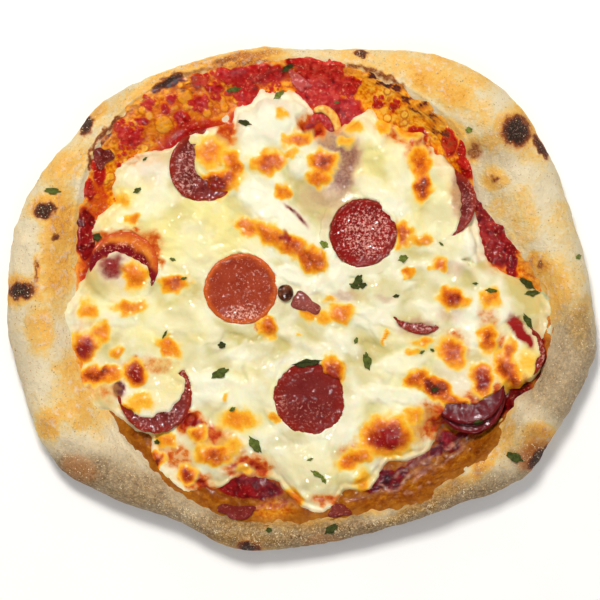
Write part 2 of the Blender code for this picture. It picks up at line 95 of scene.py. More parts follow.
# Spots: where the crust baked golden, where brown dust lies on it together with painted shade,
# mostly along the front of the rim, and where it is charred.
GOLDEN_SPOTS = (
    (62, 245, 20, 62, 0, 0.72), (42, 330, 14, 26, 5, 0.55), (66, 166, 28, 18, 30, 0.5),
    (78, 385, 26, 42, -10, 0.5), (50, 425, 13, 18, 0, 0.62), (102, 412, 12, 30, -15, 0.5),
    (235, 62, 52, 11, 8, 0.9), (160, 85, 38, 11, 30, 0.62), (120, 112, 30, 12, 45, 0.36),
    (380, 64, 62, 12, -8, 0.45), (436, 84, 46, 18, -35, 0.68), (480, 112, 20, 14, -40, 0.35),
    (520, 215, 16, 30, 10, 0.42), (552, 292, 20, 32, 0, 0.62), (577, 312, 12, 42, 0, 0.38),
    (455, 70, 36, 13, -28, 0.6), (494, 180, 13, 13, 0, 0.62), (539, 265, 11, 12, 0, 0.86),
    (500, 205, 14, 12, 0, 0.5), (530, 150, 18, 16, 0, 0.4), (560, 225, 14, 22, 0, 0.35),
    (540, 442, 22, 18, -30, 0.85), (500, 440, 18, 22, 0, 0.4), (245, 541, 42, 11, 0, 0.72),
    (275, 521, 62, 8, 0, 0.62), (340, 512, 52, 8, 5, 0.52), (515, 128, 24, 24, 0, 0.75),
    (46, 211, 20, 16, 0, 0.7), (22, 291, 22, 16, 0, 0.7), (38, 270, 5, 16, 0, 0.75),
    (98, 113, 14, 10, 50, 0.72), (84, 420, 12, 11, 0, 0.6), (488, 142, 12, 14, 0, 0.5),
    (470, 150, 10, 16, 0, 0.6), (450, 130, 12, 20, 35, 0.62), (300, 524, 30, 6, 0, 0.55),
    (430, 498, 50, 8, 28, 0.8), (482, 464, 22, 8, 50, 0.7), (505, 425, 8, 18, -20, 0.6),
)
DUST_AND_SHADE_SPOTS = (
    (84, 474, 38, 18, -25, 1), (135, 492, 80, 26, -28, 0.9), (230, 530, 60, 20, -12, 0.95),
    (330, 534, 98, 18, 5, 1), (445, 505, 84, 22, 20, 0.95), (562, 388, 34, 44, 60, 0.75),
    (576, 346, 24, 46, 0, 0.75), (22, 335, 18, 56, 0, 0.18), (530, 472, 40, 18, 40, 0.75),
    (112, 100, 26, 12, 45, 0.2), (496, 146, 26, 20, 0, 0.42), (520, 445, 22, 30, 10, 0.5),
)
CHAR_SPOTS = (
    (515, 132, 14, 15, 0, 1), (540, 148, 14, 5, -55, 0.8), (46, 211, 11, 8, 20, 0.9),
    (22, 291, 13, 8, 0, 0.95), (86, 124, 7, 11, 0, 0.92), (361, 54, 7, 4, 0, 0.75),
    (541, 457, 17, 9, 40, 0.95), (530, 454, 18, 13, 40, 0.4), (248, 547, 11, 6, 0, 0.92),
    (57, 238, 4, 3, 0, 0.62), (170, 83, 14, 5, 22, 1), (474, 152, 7, 9, 0, 0.42),
    (80, 467, 20, 14, -20, 0.25), (255, 55, 30, 4, 5, 0.28), (224, 62, 14, 3, 15, 0.4),
    (540, 265, 4, 5, 0, 0.45), (494, 180, 4, 4, 0, 0.45), (38, 270, 2, 11, 0, 0.45),
    (322, 540, 24, 6, 3, 0.2),
)
# Scorched lines along the lip.
CHAR_LINES = (
    (0.5, (90, 172, 1.4), (91, 155, 2.4), (98, 142, 2.6), (109, 129, 2.2), (119, 120, 2.6),
     (129, 113, 2.6)),
    (0.36, (129, 113, 2.4), (140, 105, 1.8), (152, 97, 2.2)),
    (0.78, (154, 94, 3), (162, 87, 5), (172, 81, 5.4), (182, 76, 3.6)),
    (0.34, (182, 78, 4.4), (192, 74, 3.4), (206, 70, 2.6), (226, 66, 2)),
    (0.44, (346, 66, 2), (360, 68, 3), (375, 73, 3.4), (390, 80, 3), (402, 89, 2.6)),
)
# Places on the oily skin with fine scorched streaks along the lip.
STREAKED_SPOTS = (
    (385, 82, 26, 8, -28, 0.85), (412, 102, 24, 8, -42, 0.72), (438, 130, 22, 8, -55, 0.62),
    (108, 138, 14, 6, 55, 0.55), (190, 86, 20, 8, 12, 0.5),
)


def full_turn(count):
    """Azimuths in radians, spread evenly over the full turn."""
    return 2.0 * pi * np.arange(count) / count


def on_food(across, down):
    """Place in mm of a point on the layout grid."""
    return SQUARE * (across - MIDDLE_ACROSS), SQUARE * (MIDDLE_DOWN - down)


def bell(azimuth, middle, half_width):
    """1 at the middle and next to nothing two half widths from it, all in degrees: e to the
    power of minus the square of their number."""
    away = (np.degrees(azimuth) - middle + 180.0) % 360.0 - 180.0
    return np.exp(-(away / half_width) ** 2)


def round_the_clock(values, azimuth):
    """Smooth closed curve through values spread evenly over the full turn (Catmull-Rom)."""
    table = np.asarray(values, dtype=float)
    count = len(table)
    place = (azimuth / (2.0 * pi) * count) % count
    index = np.floor(place).astype(int)
    t = place - index
    before, here, after, beyond = (table[(index + step) % count] for step in (-1, 0, 1, 2))
    return here + 0.5 * t * (after - before + t * (
        2.0 * before - 5.0 * here + 4.0 * after - beyond
        + t * (3.0 * (here - after) + beyond - before)))


def smooth_step(value, low, high):
    """0 up to low, 1 from high on, and 3 t squared minus 2 t cubed between them."""
    t = np.clip((value - low) / (high - low), 0.0, 1.0)
    return t * t * (3.0 - 2.0 * t)


def soft_noise(x, y, size, seed):
    """Gradient noise, about -1 to 1: each point of a square net has a random slope, and the
    planes of the four corners are joined by the smooth step."""
    angles = np.random.default_rng(seed).uniform(0.0, 2.0 * pi, (256, 256))
    u, v = x / size + 512.0, y / size + 512.0
    i, j = np.floor(u).astype(int), np.floor(v).astype(int)
    total = np.zeros_like(u)
    for di in (0, 1):
        for dj in (0, 1):
            angle = angles[(i + di) % 256, (j + dj) % 256]
            du, dv = u - i - di, v - j - dj
            plane = np.cos(angle) * du + np.sin(angle) * dv
            total += plane * smooth_step(-np.abs(du), -1.0, 0.0) * smooth_step(
                -np.abs(dv), -1.0, 0.0)
    return 1.7 * total


def rough_noise(x, y, size, seed, layers=3):
    """Sum of soft noises: each layer is turned, half as large and half as strong."""
    total, weight = np.zeros_like(x), 1.0
    for layer in range(layers):
        total = total + weight * soft_noise(x, y, size, seed + 31 * layer)
        x, y = 0.8 * x - 0.6 * y + 17.0, 0.6 * x + 0.8 * y - 9.0
        size, weight = 0.5 * size, 0.5 * weight
    return total


def soft_spots(x, y, spots, edge):
    """Highest of the soft ellipses at each point: full strength inside, nothing outside,
    and a smooth fall across its outline over twice the given share of its size."""
    total = np.zeros_like(x)
    for across, down, half_length, half_width, turn, strength in spots:
        middle_x, middle_y = on_food(across, down)
        dx, dy = x - middle_x, y - middle_y
        along = (dx * cos(radians(turn)) + dy * sin(radians(turn))) / (SQUARE * half_length)
        aside = (dy * cos(radians(turn)) - dx * sin(radians(turn))) / (SQUARE * half_width)
        total = np.maximum(total, strength * smooth_step(
            -np.hypot(along, aside), -1.0 - edge, -1.0 + edge))
    return total


def strokes(lines):
    """Soft ellipses, one from each point of a line to the next, a little overlapping."""
    spots = []
    for strength, *points in lines:
        for (ax, ay, a_width), (bx, by, b_width) in zip(points, points[1:]):
            spots.append((0.5 * (ax + bx), 0.5 * (ay + by), 0.62 * hypot(bx - ax, by - ay) + 1.0,
                          0.5 * (a_width + b_width), degrees(atan2(ay - by, bx - ax)), strength))
    return spots


def uneven(x, y, amount, size, seed):
    """The same places, each moved by a smooth noise, so that round spots get ragged."""
    return (x + amount * rough_noise(x, y, size, seed, 2),
            y + amount * rough_noise(x, y, size, seed + 7, 2))


def rim_section(azimuth):
    """Radii of outer edge, crest, topping edge and foot, and the crest height. The dents
    are bell curves over the azimuth that widen or narrow the outer edge."""
    outer, crest, edge, foot, height = (
        round_the_clock(column, azimuth) for column in zip(*RIM_SECTIONS))
    for middle, half_width, depth in OUTLINE_DENTS:
        outer = outer + depth * bell(azimuth, middle, half_width)
    return outer, crest, edge, foot, height


def crust_height(x, y):
    """Top of the dough: flat base, cosine slope up to the crest, quarter ellipse outside,
    plus a bell for each blister."""
    radius = np.hypot(x, y)
    outer, crest, _edge, foot, height = rim_section(np.arctan2(y, x))
    up = np.clip((radius - foot) / (crest - foot), 0.0, 1.0)
    inside = BASE_THICKNESS + (height - BASE_THICKNESS) * 0.5 * (1.0 - np.cos(pi * up))
    down = np.clip((radius - crest) / (outer - crest), 0.0, 1.0)
    equator = EQUATOR_SHARE * height
    outside = equator + (height - equator) * np.sqrt(1.0 - down ** 2)
    top = np.where(radius > crest, outside, inside)
    for bx, by, size, rise in BLISTERS:
        swell = np.exp(-2.0 * ((x - bx) ** 2 + (y - by) ** 2) / size ** 2)
        top = top + rise * swell * np.clip(3.0 * (1.0 - down), 0.0, 1.0)
    return top


def dough_top(x, y):
    """Crust height with the baked dough's slow waves and its lip beside the toppings."""
    azimuth, radius = np.arctan2(y, x), np.hypot(x, y)
    edge = rim_section(azimuth)[2]
    lip = round_the_clock(LIP_HEIGHTS, azimuth) * np.exp(
        -((radius - edge - LIP_SETBACK) / LIP_WIDTH) ** 2)
    return crust_height(x, y) + lip + WAVE_HEIGHT * rough_noise(x, y, WAVE_LENGTH, 3, 2)


def linear_colour(hex_colour):
    """Linear RGBA of an sRGB hex colour."""
    channels = [int(hex_colour[i:i + 2], 16) / 255.0 for i in (1, 3, 5)]
    linear = [c / 12.92 if c <= 0.04045 else ((c + 0.055) / 1.055) ** 2.4 for c in channels]
    return (*linear, 1.0)


def fill_sockets(material, filled):
    """Each socket gets its link, its hex colour or its number, and None leaves it alone."""
    for socket, value in filled:
        if isinstance(value, bpy.types.NodeSocket):
            material.node_tree.links.new(value, socket)
        elif value is not None:
            socket.default_value = linear_colour(value) if isinstance(value, str) else value


def add_node(material, kind, *inputs, out=0, steps=(), **named):
    """Adds a node and gives its output socket. Inputs fill its open sockets in turn, a name
    with a capital is a socket's, another one is a setting's, and steps are a colour ramp's."""
    node = material.node_tree.nodes.new("ShaderNode" + kind)
    for name, value in named.items():
        if name[0].islower():
            setattr(node, name, value)
    if kind == "Math":
        node.use_clamp = True
    if steps:
        elements = node.color_ramp.elements
        while len(elements) < len(steps):
            elements.new(0.5)
        for element, (position, _colour) in zip(elements, steps):
            element.position = position
        for element, (_position, colour) in zip(elements, steps):
            element.color = linear_colour(colour)
    fill_sockets(material, zip((socket for socket in node.inputs if socket.enabled), inputs))
    fill_sockets(material, ((node.inputs[name], value) for name, value in named.items()
                            if name[0].isupper()))
    return [socket for socket in node.outputs if socket.enabled][0] if out == 0 else (
        node.outputs[out])


def new_material(name, marks=(), **patterns):
    """Material, what adds a node to it, and its sockets that vary over the piece. A mark is
    one of the piece's attributes. A pattern is a noise on the object's own coordinates with
    a grain size in mm, a detail, a roughness and maybe a distortion."""
    material = bpy.data.materials.new(name)
    material.use_nodes = True
    add = partial(add_node, material)
    place = add("TexCoord", out="Object")
    varied = {mark: add("Attribute", attribute_name=mark, out="Fac") for mark in marks}
    for pattern, (size_mm, *others) in patterns.items():
        varied[pattern] = add("TexNoise", Vector=place, Scale=1.0 / (size_mm * MM),
                              **dict(zip(("Detail", "Roughness", "Distortion"), others)))
    return material, add, SimpleNamespace(**varied)


def broken_up(add, mark, pattern, low, high, operation="MULTIPLY"):
    """The mark times the pattern, which is first stretched to run from low to high. Another
    operation may join them."""
    return add("Math", mark, add("MapRange", pattern, 0, 1, low, high), operation=operation)


def finish_material(material, base, over=(), relief=(), wet_relief=(), **sockets):
    """Fills the Principled shader. Over the base colour lie layers, each with its share and
    its colour. Relief is a chain of bumps, each with its height socket and its depth in mm,
    on the surface, and wet relief is one on its clear coat."""
    for share, colour in over:
        base = add_node(material, "Mix", share, base, colour, data_type="RGBA")
    for layers, socket in ((relief, "Normal"), (wet_relief, "Coat_Normal")):
        for height, depth_mm in layers:
            sockets[socket] = add_node(material, "Bump", Strength=1.0, Distance=depth_mm * MM,
                                       Height=height, Normal=sockets.get(socket))
    shader = material.node_tree.nodes["Principled BSDF"]
    fill_sockets(material, ((shader.inputs[name.replace("_", " ")], value)
                            for name, value in {"Base_Color": base, **sockets}.items()))


def lattice_faces(rows, columns):
    """Faces of a lattice of rings: a fan at the first row, quads between rings, a fan at
    the last row. The first and the last row are one point each."""
    ring = 1 + np.arange((rows - 2) * columns).reshape(rows - 2, columns)
    after = np.roll(ring, -1, axis=1)
    quads = np.stack([ring[:-1], ring[1:], after[1:], after[:-1]], axis=-1).reshape(-1, 4)
    last = np.full(columns, 1 + ring.size)
    fans = np.concatenate([
        np.stack([np.zeros(columns, int), ring[0], after[0]], axis=-1),
        np.stack([ring[-1], last, after[-1]], axis=-1)])
    return quads, fans


def make_piece(name, lattices, material):
    """Object from lattices (x, y, z, attributes) in mm: arrays of rings by azimuths."""
    points, faces, attributes, start = [], [], {}, 0
    for x, y, z, marks in lattices:
        rows, columns = x.shape
        keep = np.concatenate([[0], np.arange(columns, (rows - 1) * columns),
                               [(rows - 1) * columns]])
        points.append(np.stack([x + MIDDLE_X, y + MIDDLE_Y, z], axis=-1).reshape(-1, 3)[keep])
        quads, fans = lattice_faces(rows, columns)
        faces += (quads + start).tolist() + (fans + start).tolist()
        start += len(keep)
        for key, values in marks.items():
            attributes.setdefault(key, []).append(
                np.broadcast_to(values, x.shape).reshape(-1)[keep])
    mesh = bpy.data.meshes.new(name)
    mesh.from_pydata((np.concatenate(points) * MM).tolist(), [], faces)
    for key, values in attributes.items():
        layer = mesh.attributes.new(key, "FLOAT", "POINT")
        layer.data.foreach_set("value", np.concatenate(values).astype(np.float32))
    mesh.shade_smooth()
    mesh.materials.append(material)
    piece = bpy.data.objects.new(name, mesh)
    bpy.context.scene.collection.objects.link(piece)
    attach(piece, "root")
    return piece


DOUGH_AROUND = 860
base_shares = np.array([0.0, 0.5, 0.9])
slope_shares = np.linspace(0.0, 1.0, 7)
crest_shares = np.linspace(0.0, 1.0, 37)[1:]
wall_angles = np.radians(np.linspace(0.0, 90.0, 36))[1:]
turn_angles = np.radians(np.linspace(0.0, 90.0, 18))[1:]
underside_shares = np.array([0.97, 0.9, 0.7, 0.4, 0.0])

azimuth = full_turn(96)
outline = rim_section(azimuth)[0]
MIDDLE_X, MIDDLE_Y = (-0.5 * float(side.max() + side.min()) for side in (
    outline * np.cos(azimuth), outline * np.sin(azimuth)))

azimuth = full_turn(DOUGH_AROUND)
outer, crest, edge, foot, height = rim_section(azimuth)
equator = EQUATOR_SHARE * height
radii = np.concatenate([
    foot * base_shares[:, None],
    foot + (edge - foot) * slope_shares[1:, None],
    edge + (crest - edge) * crest_shares[:, None],
    crest + (outer - crest) * np.sin(wall_angles)[:, None],
    outer - UNDERCUT * (1.0 - np.cos(turn_angles))[:, None],
    (outer - UNDERCUT) * underside_shares[:, None]])
x, y = radii * np.cos(azimuth), radii * np.sin(azimuth)
top_rows = len(base_shares) + len(slope_shares) - 1 + len(crest_shares) + len(wall_angles)
z = dough_top(x, y)
z[top_rows - 1] = equator
below = equator * (1.0 - np.sin(turn_angles))[:, None]
z[top_rows:top_rows + len(turn_angles)] = below
z[top_rows + len(turn_angles):] = 0.0
# Fine relief stands along the section's normal: up on top, outwards on the wall.
lean = np.zeros(len(radii))
lean[top_rows - len(wall_angles):top_rows] = wall_angles
lean[top_rows:top_rows + len(turn_angles)] = 0.5 * pi + turn_angles
strength = np.ones(len(radii))
strength[top_rows:top_rows + len(turn_angles)] = np.cos(turn_angles) ** 2
strength[top_rows + len(turn_angles):] = 0.0
u, v = x + 0.8 * z, y - 0.8 * z
crumb = CRAG_HEIGHT * rough_noise(u, v, CRAG_SIZE, 11, 3)
crumb = crumb + CRUMB_HEIGHT * rough_noise(u, v, CRUMB_SIZE, 12, 2)
crumb = crumb * strength[:, None] * smooth_step(np.hypot(x, y) - edge, -4.0, 0.5)
x = x + crumb * np.sin(lean)[:, None] * np.cos(azimuth)
y = y + crumb * np.sin(lean)[:, None] * np.sin(azimuth)
z = z + crumb * np.cos(lean)[:, None]
ragged = uneven(x, y, 1.6, 7.0, 21)
charred = (*CHAR_SPOTS, *strokes(CHAR_LINES))
underneath = np.zeros_like(x)
underneath[top_rows + len(turn_angles) - 4:] = 1.0
dough_marks = {
    "golden": soft_spots(*ragged, GOLDEN_SPOTS, 0.5) * (0.4 + 0.6 * smooth_step(z, 3.0, 12.0)),
    "taupe": soft_spots(*ragged, DUST_AND_SHADE_SPOTS, 0.5),
    "char": soft_spots(*uneven(x, y, 0.9, 2.5, 22), charred, 0.5) * smooth_step(
        z + 1.2 * soft_noise(x, y, 3.0, 23), 5.0, 11.0),
    "underneath": underneath,
}

# Baked wheat crust, dusted with flour: dry and matte, cream to golden, with a fine grain of
# flour and bran and dark scorched blisters.
baked_crust, add, crust = new_material(
    "baked_wheat_crust", dough_marks, slow=(14.0, 5.0, 0.62), patch=(3.2, 5.0, 0.65),
    grain=(0.7, 3.0, 0.7), flour=(1.3, 4.0, 0.75), bran=(0.9, 2.0, 0.6))
golden = crust.golden
for pattern, low, high in ((crust.slow, -0.55, 0.62), (crust.patch, -0.46, 0.44),
                           (crust.flour, -0.3, 0.28)):
    golden = broken_up(add, golden, pattern, low, high, "ADD")
golden_colour = add("ValToRGB", golden, steps=(
    (0.05, "#EADAB6"), (0.28, "#ECCF90"), (0.48, "#F3C264"), (0.76, "#F0AE44"),
    (0.93, "#D88A32"), (1.0, "#A85C20")))
floury = add("Math", add("MapRange", crust.patch, 0.53, 0.64), 0.5, operation="MULTIPLY")
# Painted shade: the grey-brown dust colour, laid mostly along the front of the rim, also stands in
# for the shade there.
dust_and_shade_share = broken_up(add, crust.taupe, crust.patch, 0.55, 1.25)
dust_and_shade_colour = add("ValToRGB", crust.flour, steps=(
    (0.36, "#5E4222"), (0.5, "#8C6A42"), (0.64, "#BE9E72")))
hearth = broken_up(add, crust.slow, crust.patch, -0.2, 0.2, "ADD")
hearth_colour = add("ValToRGB", hearth, steps=(
    (0.36, "#E3C794"), (0.5, "#C99352"), (0.62, "#8F5527"), (0.72, "#4A2A16")))
scorch = broken_up(add, crust.char, crust.flour, 0.35, 1.5)
scorch_colour = add("ValToRGB", scorch, steps=(
    (0.2, "#C77B34"), (0.45, "#8A4620"), (0.72, "#54281A"), (0.98, "#2E241C")))
finish_material(
    baked_crust, golden_colour,
    ((floury, "#F3E8CF"), (add("MapRange", crust.bran, 0.64, 0.76), "#B07C42"),
     (dust_and_shade_share, dust_and_shade_colour), (crust.underneath, hearth_colour),
     (add("MapRange", scorch, 0.06, 0.4), scorch_colour),
     (add("MapRange", crust.grain, 0.56, 0.95), "#F6E6C4")),
    relief=((crust.patch, 1.0), (crust.flour, 0.5), (crust.grain, 0.25)),
    Roughness=0.75, Specular_IOR_Level=0.18, Subsurface_Weight=0.05, Subsurface_Scale=0.002)

piece = make_piece("baked_dough", [(x, y, z, dough_marks)], baked_crust)
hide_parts("dough")

# ---------------------------------------------------------------- tomato sauce and oil
# Crushed tomato spread on the raw dough, glossy and lumpy where it lies thick. Beyond it
# the oil has soaked the inner slope of the rim, bright orange at the back and dark amber in
# front, and the thin skin is wrinkled and scorched along the lip.
SAUCE_THICKNESS = 1.0
OIL_THICKNESS, PULP_THICKNESS = 0.5, 0.75
PULP_RELIEF, OIL_RELIEF = 0.3, 0.2
FOLD_HEIGHT = 0.6
SUNK = 0.9
SAUCE_AROUND = 1150
SLOPE_ROWS = 66
UNDER_SHARES = np.array([1.0, 0.96, 0.92, 0.88, 0.84, 0.8, 0.0])
# Where the oil ran furthest over the lip: azimuth and half width in degrees, distance.
OIL_RUNOUT = (-37.0, 6.5, 4.5)
RED_SPOTS = (
    (318, 80, 24, 28, 0, 1), (253, 75, 38, 10, 3, 0.95), (130, 138, 12, 8, -10, 0.95),
    (118, 128, 5, 5, 0, 0.8), (143, 122, 7, 4, 0, 0.8), (150, 104, 5, 4, 0, 0.7),
    (166, 110, 5, 5, 0, 0.7), (172, 100, 5, 4, 0, 0.7), (182, 120, 7, 9, 0, 0.9),
    (200, 102, 8, 6, 0, 0.75), (214, 89, 9, 4, 0, 0.9), (246, 90, 12, 18, 20, 0.85),
    (197, 82, 5, 8, 0, 0.9), (100, 175, 6, 12, 0, 0.8), (90, 190, 4, 12, 0, 0.9),
    (86, 234, 11, 26, 0, 1), (101, 250, 14, 8, 0, 0.9), (350, 86, 10, 9, 0, 0.9),
    (350, 108, 8, 9, 0, 0.9), (378, 104, 5, 5, 0, 0.8), (393, 107, 6, 4, 0, 0.75),
    (417, 137, 12, 10, -40, 0.7), (449, 143, 7, 14, 10, 0.9), (465, 160, 7, 20, 10, 1),
    (478, 200, 8, 14, 20, 0.9), (495, 235, 22, 33, 15, 1), (512, 265, 6, 14, 0, 1),
    (520, 332, 9, 17, -20, 1), (536, 352, 10, 30, 5, 0.9), (248, 487, 33, 12, -6, 1),
    (372, 486, 12, 7, 10, 0.9), (388, 480, 15, 10, -20, 1), (448, 442, 12, 10, -40, 0.95),
    (437, 451, 8, 4, 40, 0.85), (462, 436, 9, 4, 30, 0.8), (420, 457, 16, 5, 42, 0.62),
    (401, 473, 10, 6, 35, 0.85), (500, 408, 40, 7, 43, 1), (188, 418, 12, 11, 0, 0.9),
    (515, 395, 20, 13, 48, 1), (148, 128, 44, 14, 40, 0.22), (190, 108, 48, 18, 12, 0.25),
    (380, 112, 40, 14, -30, 0.12), (98, 205, 10, 30, 0, 0.42), (414, 462, 14, 4, 35, 0.55),
    (212, 126, 20, 7, 0, 0.55), (236, 132, 9, 20, 0, 0.65), (160, 152, 8, 6, 0, 0.6),
    (92, 160, 5, 8, 0, 0.7), (300, 60, 14, 9, 0, 0.95), (338, 112, 26, 16, 0, 0.9),
    (430, 160, 9, 18, 0, 0.45), (365, 62, 10, 3, 0, 0.5), (468, 392, 46, 20, 25, 0.9),
    (160, 405, 36, 22, 0, 0.8), (120, 275, 40, 40, 0, 0.75), (200, 165, 44, 44, 0, 0.85),
    (330, 160, 60, 50, 0, 0.8),
)
# Bubbles of oil on the layout grid: across, down, radius in squares. And fields of small
# ones: azimuth range in degrees and how many.
OIL_BUBBLES = (
    (164, 125, 9), (185, 97, 8), (150, 117, 5), (207, 113, 5), (221, 100, 5), (138, 145, 4),
    (112, 152, 4), (105, 180, 5), (97, 196, 4), (236, 100, 4),
)
BUBBLE_FIELDS = ((92.0, 168.0, 230), (28.0, 68.0, 70), (168.0, 205.0, 40), (225.0, 320.0, 60))
# Grains of tomato pulp in heaps: across, down, half size of the heap in squares, how many.
PULP_HEAPS = (
    (129, 134, 15, 60), (150, 104, 8, 20), (199, 103, 10, 30), (181, 119, 8, 16), (222, 85, 16, 36),
    (203, 80, 6, 14), (253, 75, 30, 110), (320, 80, 27, 300), (312, 112, 12, 46), (350, 88, 11, 34),
    (352, 108, 8, 24), (378, 102, 7, 10), (395, 107, 7, 9), (449, 143, 8, 18), (466, 160, 8, 34),
    (495, 236, 21, 150), (92, 162, 7, 16), (89, 192, 6, 22), (87, 234, 13, 80), (244, 93, 12, 30),
    (448, 441, 11, 30), (388, 480, 12, 12), (128, 160, 14, 14),
)
# Spots where pools lie smooth, and lines of the folds of the oily skin, which stand up and carry a
# painted highlight along them.
SMOOTH_POOLS = (
    (248, 487, 36, 15, -6, 1), (388, 480, 18, 12, -20, 0.8), (86, 234, 16, 36, 0, 0.8),
    (495, 240, 24, 40, 12, 0.6), (414, 462, 20, 8, 35, 0.8), (505, 405, 40, 12, 43, 0.8),
)
SKIN_FOLDS = (
    (1, (380, 486, 1.6), (392, 491, 1.8), (402, 485, 1.6), (410, 474, 1.4), (419, 461, 1.4),
     (428, 446, 1.8)),
    (0.9, (396, 476, 1.6), (408, 469, 1.6), (422, 463, 1.8), (436, 456, 1.8), (449, 449, 1.6),
     (458, 441, 1.4)),
    (0.8, (412, 482, 1.4), (426, 474, 1.6), (440, 466, 1.4)),
    (0.7, (400, 496, 1.2), (414, 490, 1.5), (428, 483, 1.2)),
    (0.7, (446, 462, 1.2), (456, 455, 1.4), (466, 446, 1.2)),
    (0.6, (172, 477, 1.2), (184, 485, 1.4), (197, 492, 1.2)),
)
draw = np.random.default_rng(29)
bubbles = [(*on_food(across, down), SQUARE * size) for across, down, size in OIL_BUBBLES]
for first, last, count in BUBBLE_FIELDS:
    for turn in draw.uniform(radians(first), radians(last), count):
        reach = rim_section(turn)[2] - draw.uniform(0.5, 17.0)
        bubbles.append((reach * cos(turn), reach * sin(turn), 0.5 + 1.4 * draw.uniform() ** 2))
pulp_grains = []
for across, down, half_size, count in PULP_HEAPS:
    heap_x, heap_y = on_food(across, down)
    for turn, reach, size in draw.uniform((0.0, 0.0, 0.6), (2.0 * pi, 1.0, 1.2), (count, 3)):
        reach = SQUARE * half_size * reach ** 0.6
        pulp_grains.append((heap_x + reach * cos(turn), heap_y + reach * sin(turn), size))


def ball_domes(x, y, balls):
    """Highest of the balls (x, y, radius in mm) at each place, sunk to their middles."""
    domes = np.zeros_like(x)
    for bx, by, size in balls:
        domes = np.maximum(domes, size ** 2 - (x - bx) ** 2 - (y - by) ** 2)
    return np.sqrt(domes)


def oil_skin_lift(x, y):
    """Height of the sauce over the dough and how red it is: its thickness, thinner on the
    oily slope, more on the red lumps, running out to nothing at the edge of the toppings."""
    azimuth, radius = np.arctan2(y, x), np.hypot(x, y)
    edge = rim_section(azimuth)[2] + 1.1 * rough_noise(x, y, 6.0, 41, 2)
    edge = edge + OIL_RUNOUT[2] * bell(azimuth, *OIL_RUNOUT[:2])
    grains = ball_domes(x, y, pulp_grains)
    red = soft_spots(*uneven(x, y, 0.8, 3.6, 42), RED_SPOTS, 0.3)
    red = np.maximum(red, 0.85 * smooth_step(grains, 0.1, 1.0))
    pulp = PULP_RELIEF * rough_noise(x, y, 3.2, 43, 3) + 0.55 * grains
    pulp = pulp * (1.0 - 0.8 * soft_spots(x, y, SMOOTH_POOLS, 0.4))
    oily = OIL_RELIEF * rough_noise(x, y, 5.0, 45, 3) + 0.45 * ball_domes(x, y, bubbles)
    lift = OIL_THICKNESS + PULP_THICKNESS * red + red * pulp + (1.0 - red) * oily
    return lift * smooth_step(edge - radius, -0.4, 1.8) - 0.35 * smooth_step(
        radius - edge, -0.6, 0.4), red


azimuth = full_turn(SAUCE_AROUND)
edge, foot = rim_section(azimuth)[2:4]
edge = edge + OIL_RUNOUT[2] * bell(azimuth, *OIL_RUNOUT[:2])
inner_shares = np.concatenate([[0.0], np.linspace(0.25, 1.0, 12)])
start = 0.78 * foot
radii = np.concatenate([
    start * inner_shares[:, None],
    start + (edge + 1.6 - start) * np.linspace(0.0, 1.0, SLOPE_ROWS)[1:, None],
    (edge + 0.9) * UNDER_SHARES[:, None]])
x, y = radii * np.cos(azimuth), radii * np.sin(azimuth)
lift, red = oil_skin_lift(x, y)
# Wrinkles of the oily skin run round the lower right, along the slope.
around_mm = np.arctan2(y, x) * 88.0
wrinkled = soft_spots(x, y, ((440, 462, 70, 26, 30, 1.0), (395, 485, 50, 16, 15, 0.8)), 0.5)
furrow = np.abs(soft_noise(around_mm / 6.0, np.hypot(x, y) + 0.05 * around_mm, 1.5, 46))
folds = soft_spots(*uneven(x, y, 0.9, 3.4, 50), strokes(SKIN_FOLDS), 0.7)
folds = folds * smooth_step(soft_noise(x, y, 2.6, 51), -0.45, 0.35)
lift += wrinkled * (0.5 * furrow - 0.15) + FOLD_HEIGHT * folds
# The underside lies a little inside the dough, all the way down its hollow slope.
lift[-len(UNDER_SHARES):] = -SUNK
z = dough_top(x, y) + lift
ragged = uneven(x, y, 1.0, 3.0, 47)
streaks = soft_noise(around_mm / 5.0, np.hypot(x, y) + 0.12 * around_mm, 0.9, 48)
# The front of the pinsa, where the oil is dark.
front = smooth_step(MIDDLE_DOWN - y / SQUARE + 0.6 * np.maximum(x, 0.0), 345.0, 430.0)
sauce_marks = {
    "red": red,
    "dark": front * (1.0 - soft_spots(
        x, y, ((82, 375, 26, 60, 0, 1.0), (273, 510, 20, 10, 8, 0.55)), 0.4)),
    "deep": np.maximum(front, soft_spots(
        x, y, ((498, 240, 30, 46, 10, 0.65), (88, 234, 22, 40, 0, 0.7)), 0.4))
        - soft_spots(x, y, ((240, 486, 26, 16, 0, 0.35),), 0.4),
    "char": np.maximum(soft_spots(*ragged, charred, 0.4), soft_spots(
        *ragged, STREAKED_SPOTS, 0.5) * smooth_step(streaks, -0.7, 0.45)),
    "lip": smooth_step(np.hypot(x, y) - edge + 0.9 * rough_noise(x, y, 4.0, 49, 2), -5.0, 0.5),
    "grooves": 0.45 * wrinkled * smooth_step(-furrow, -0.16, 0.0),
    "folds": folds,
    "gold": soft_spots(x, y, ((408, 112, 66, 30, -42, 1.0),), 0.5),
    "bubble": smooth_step(ball_domes(x, y, bubbles), 0.0, 1.4),
    "grain": smooth_step(ball_domes(x, y, pulp_grains), 0.0, 0.9),
}

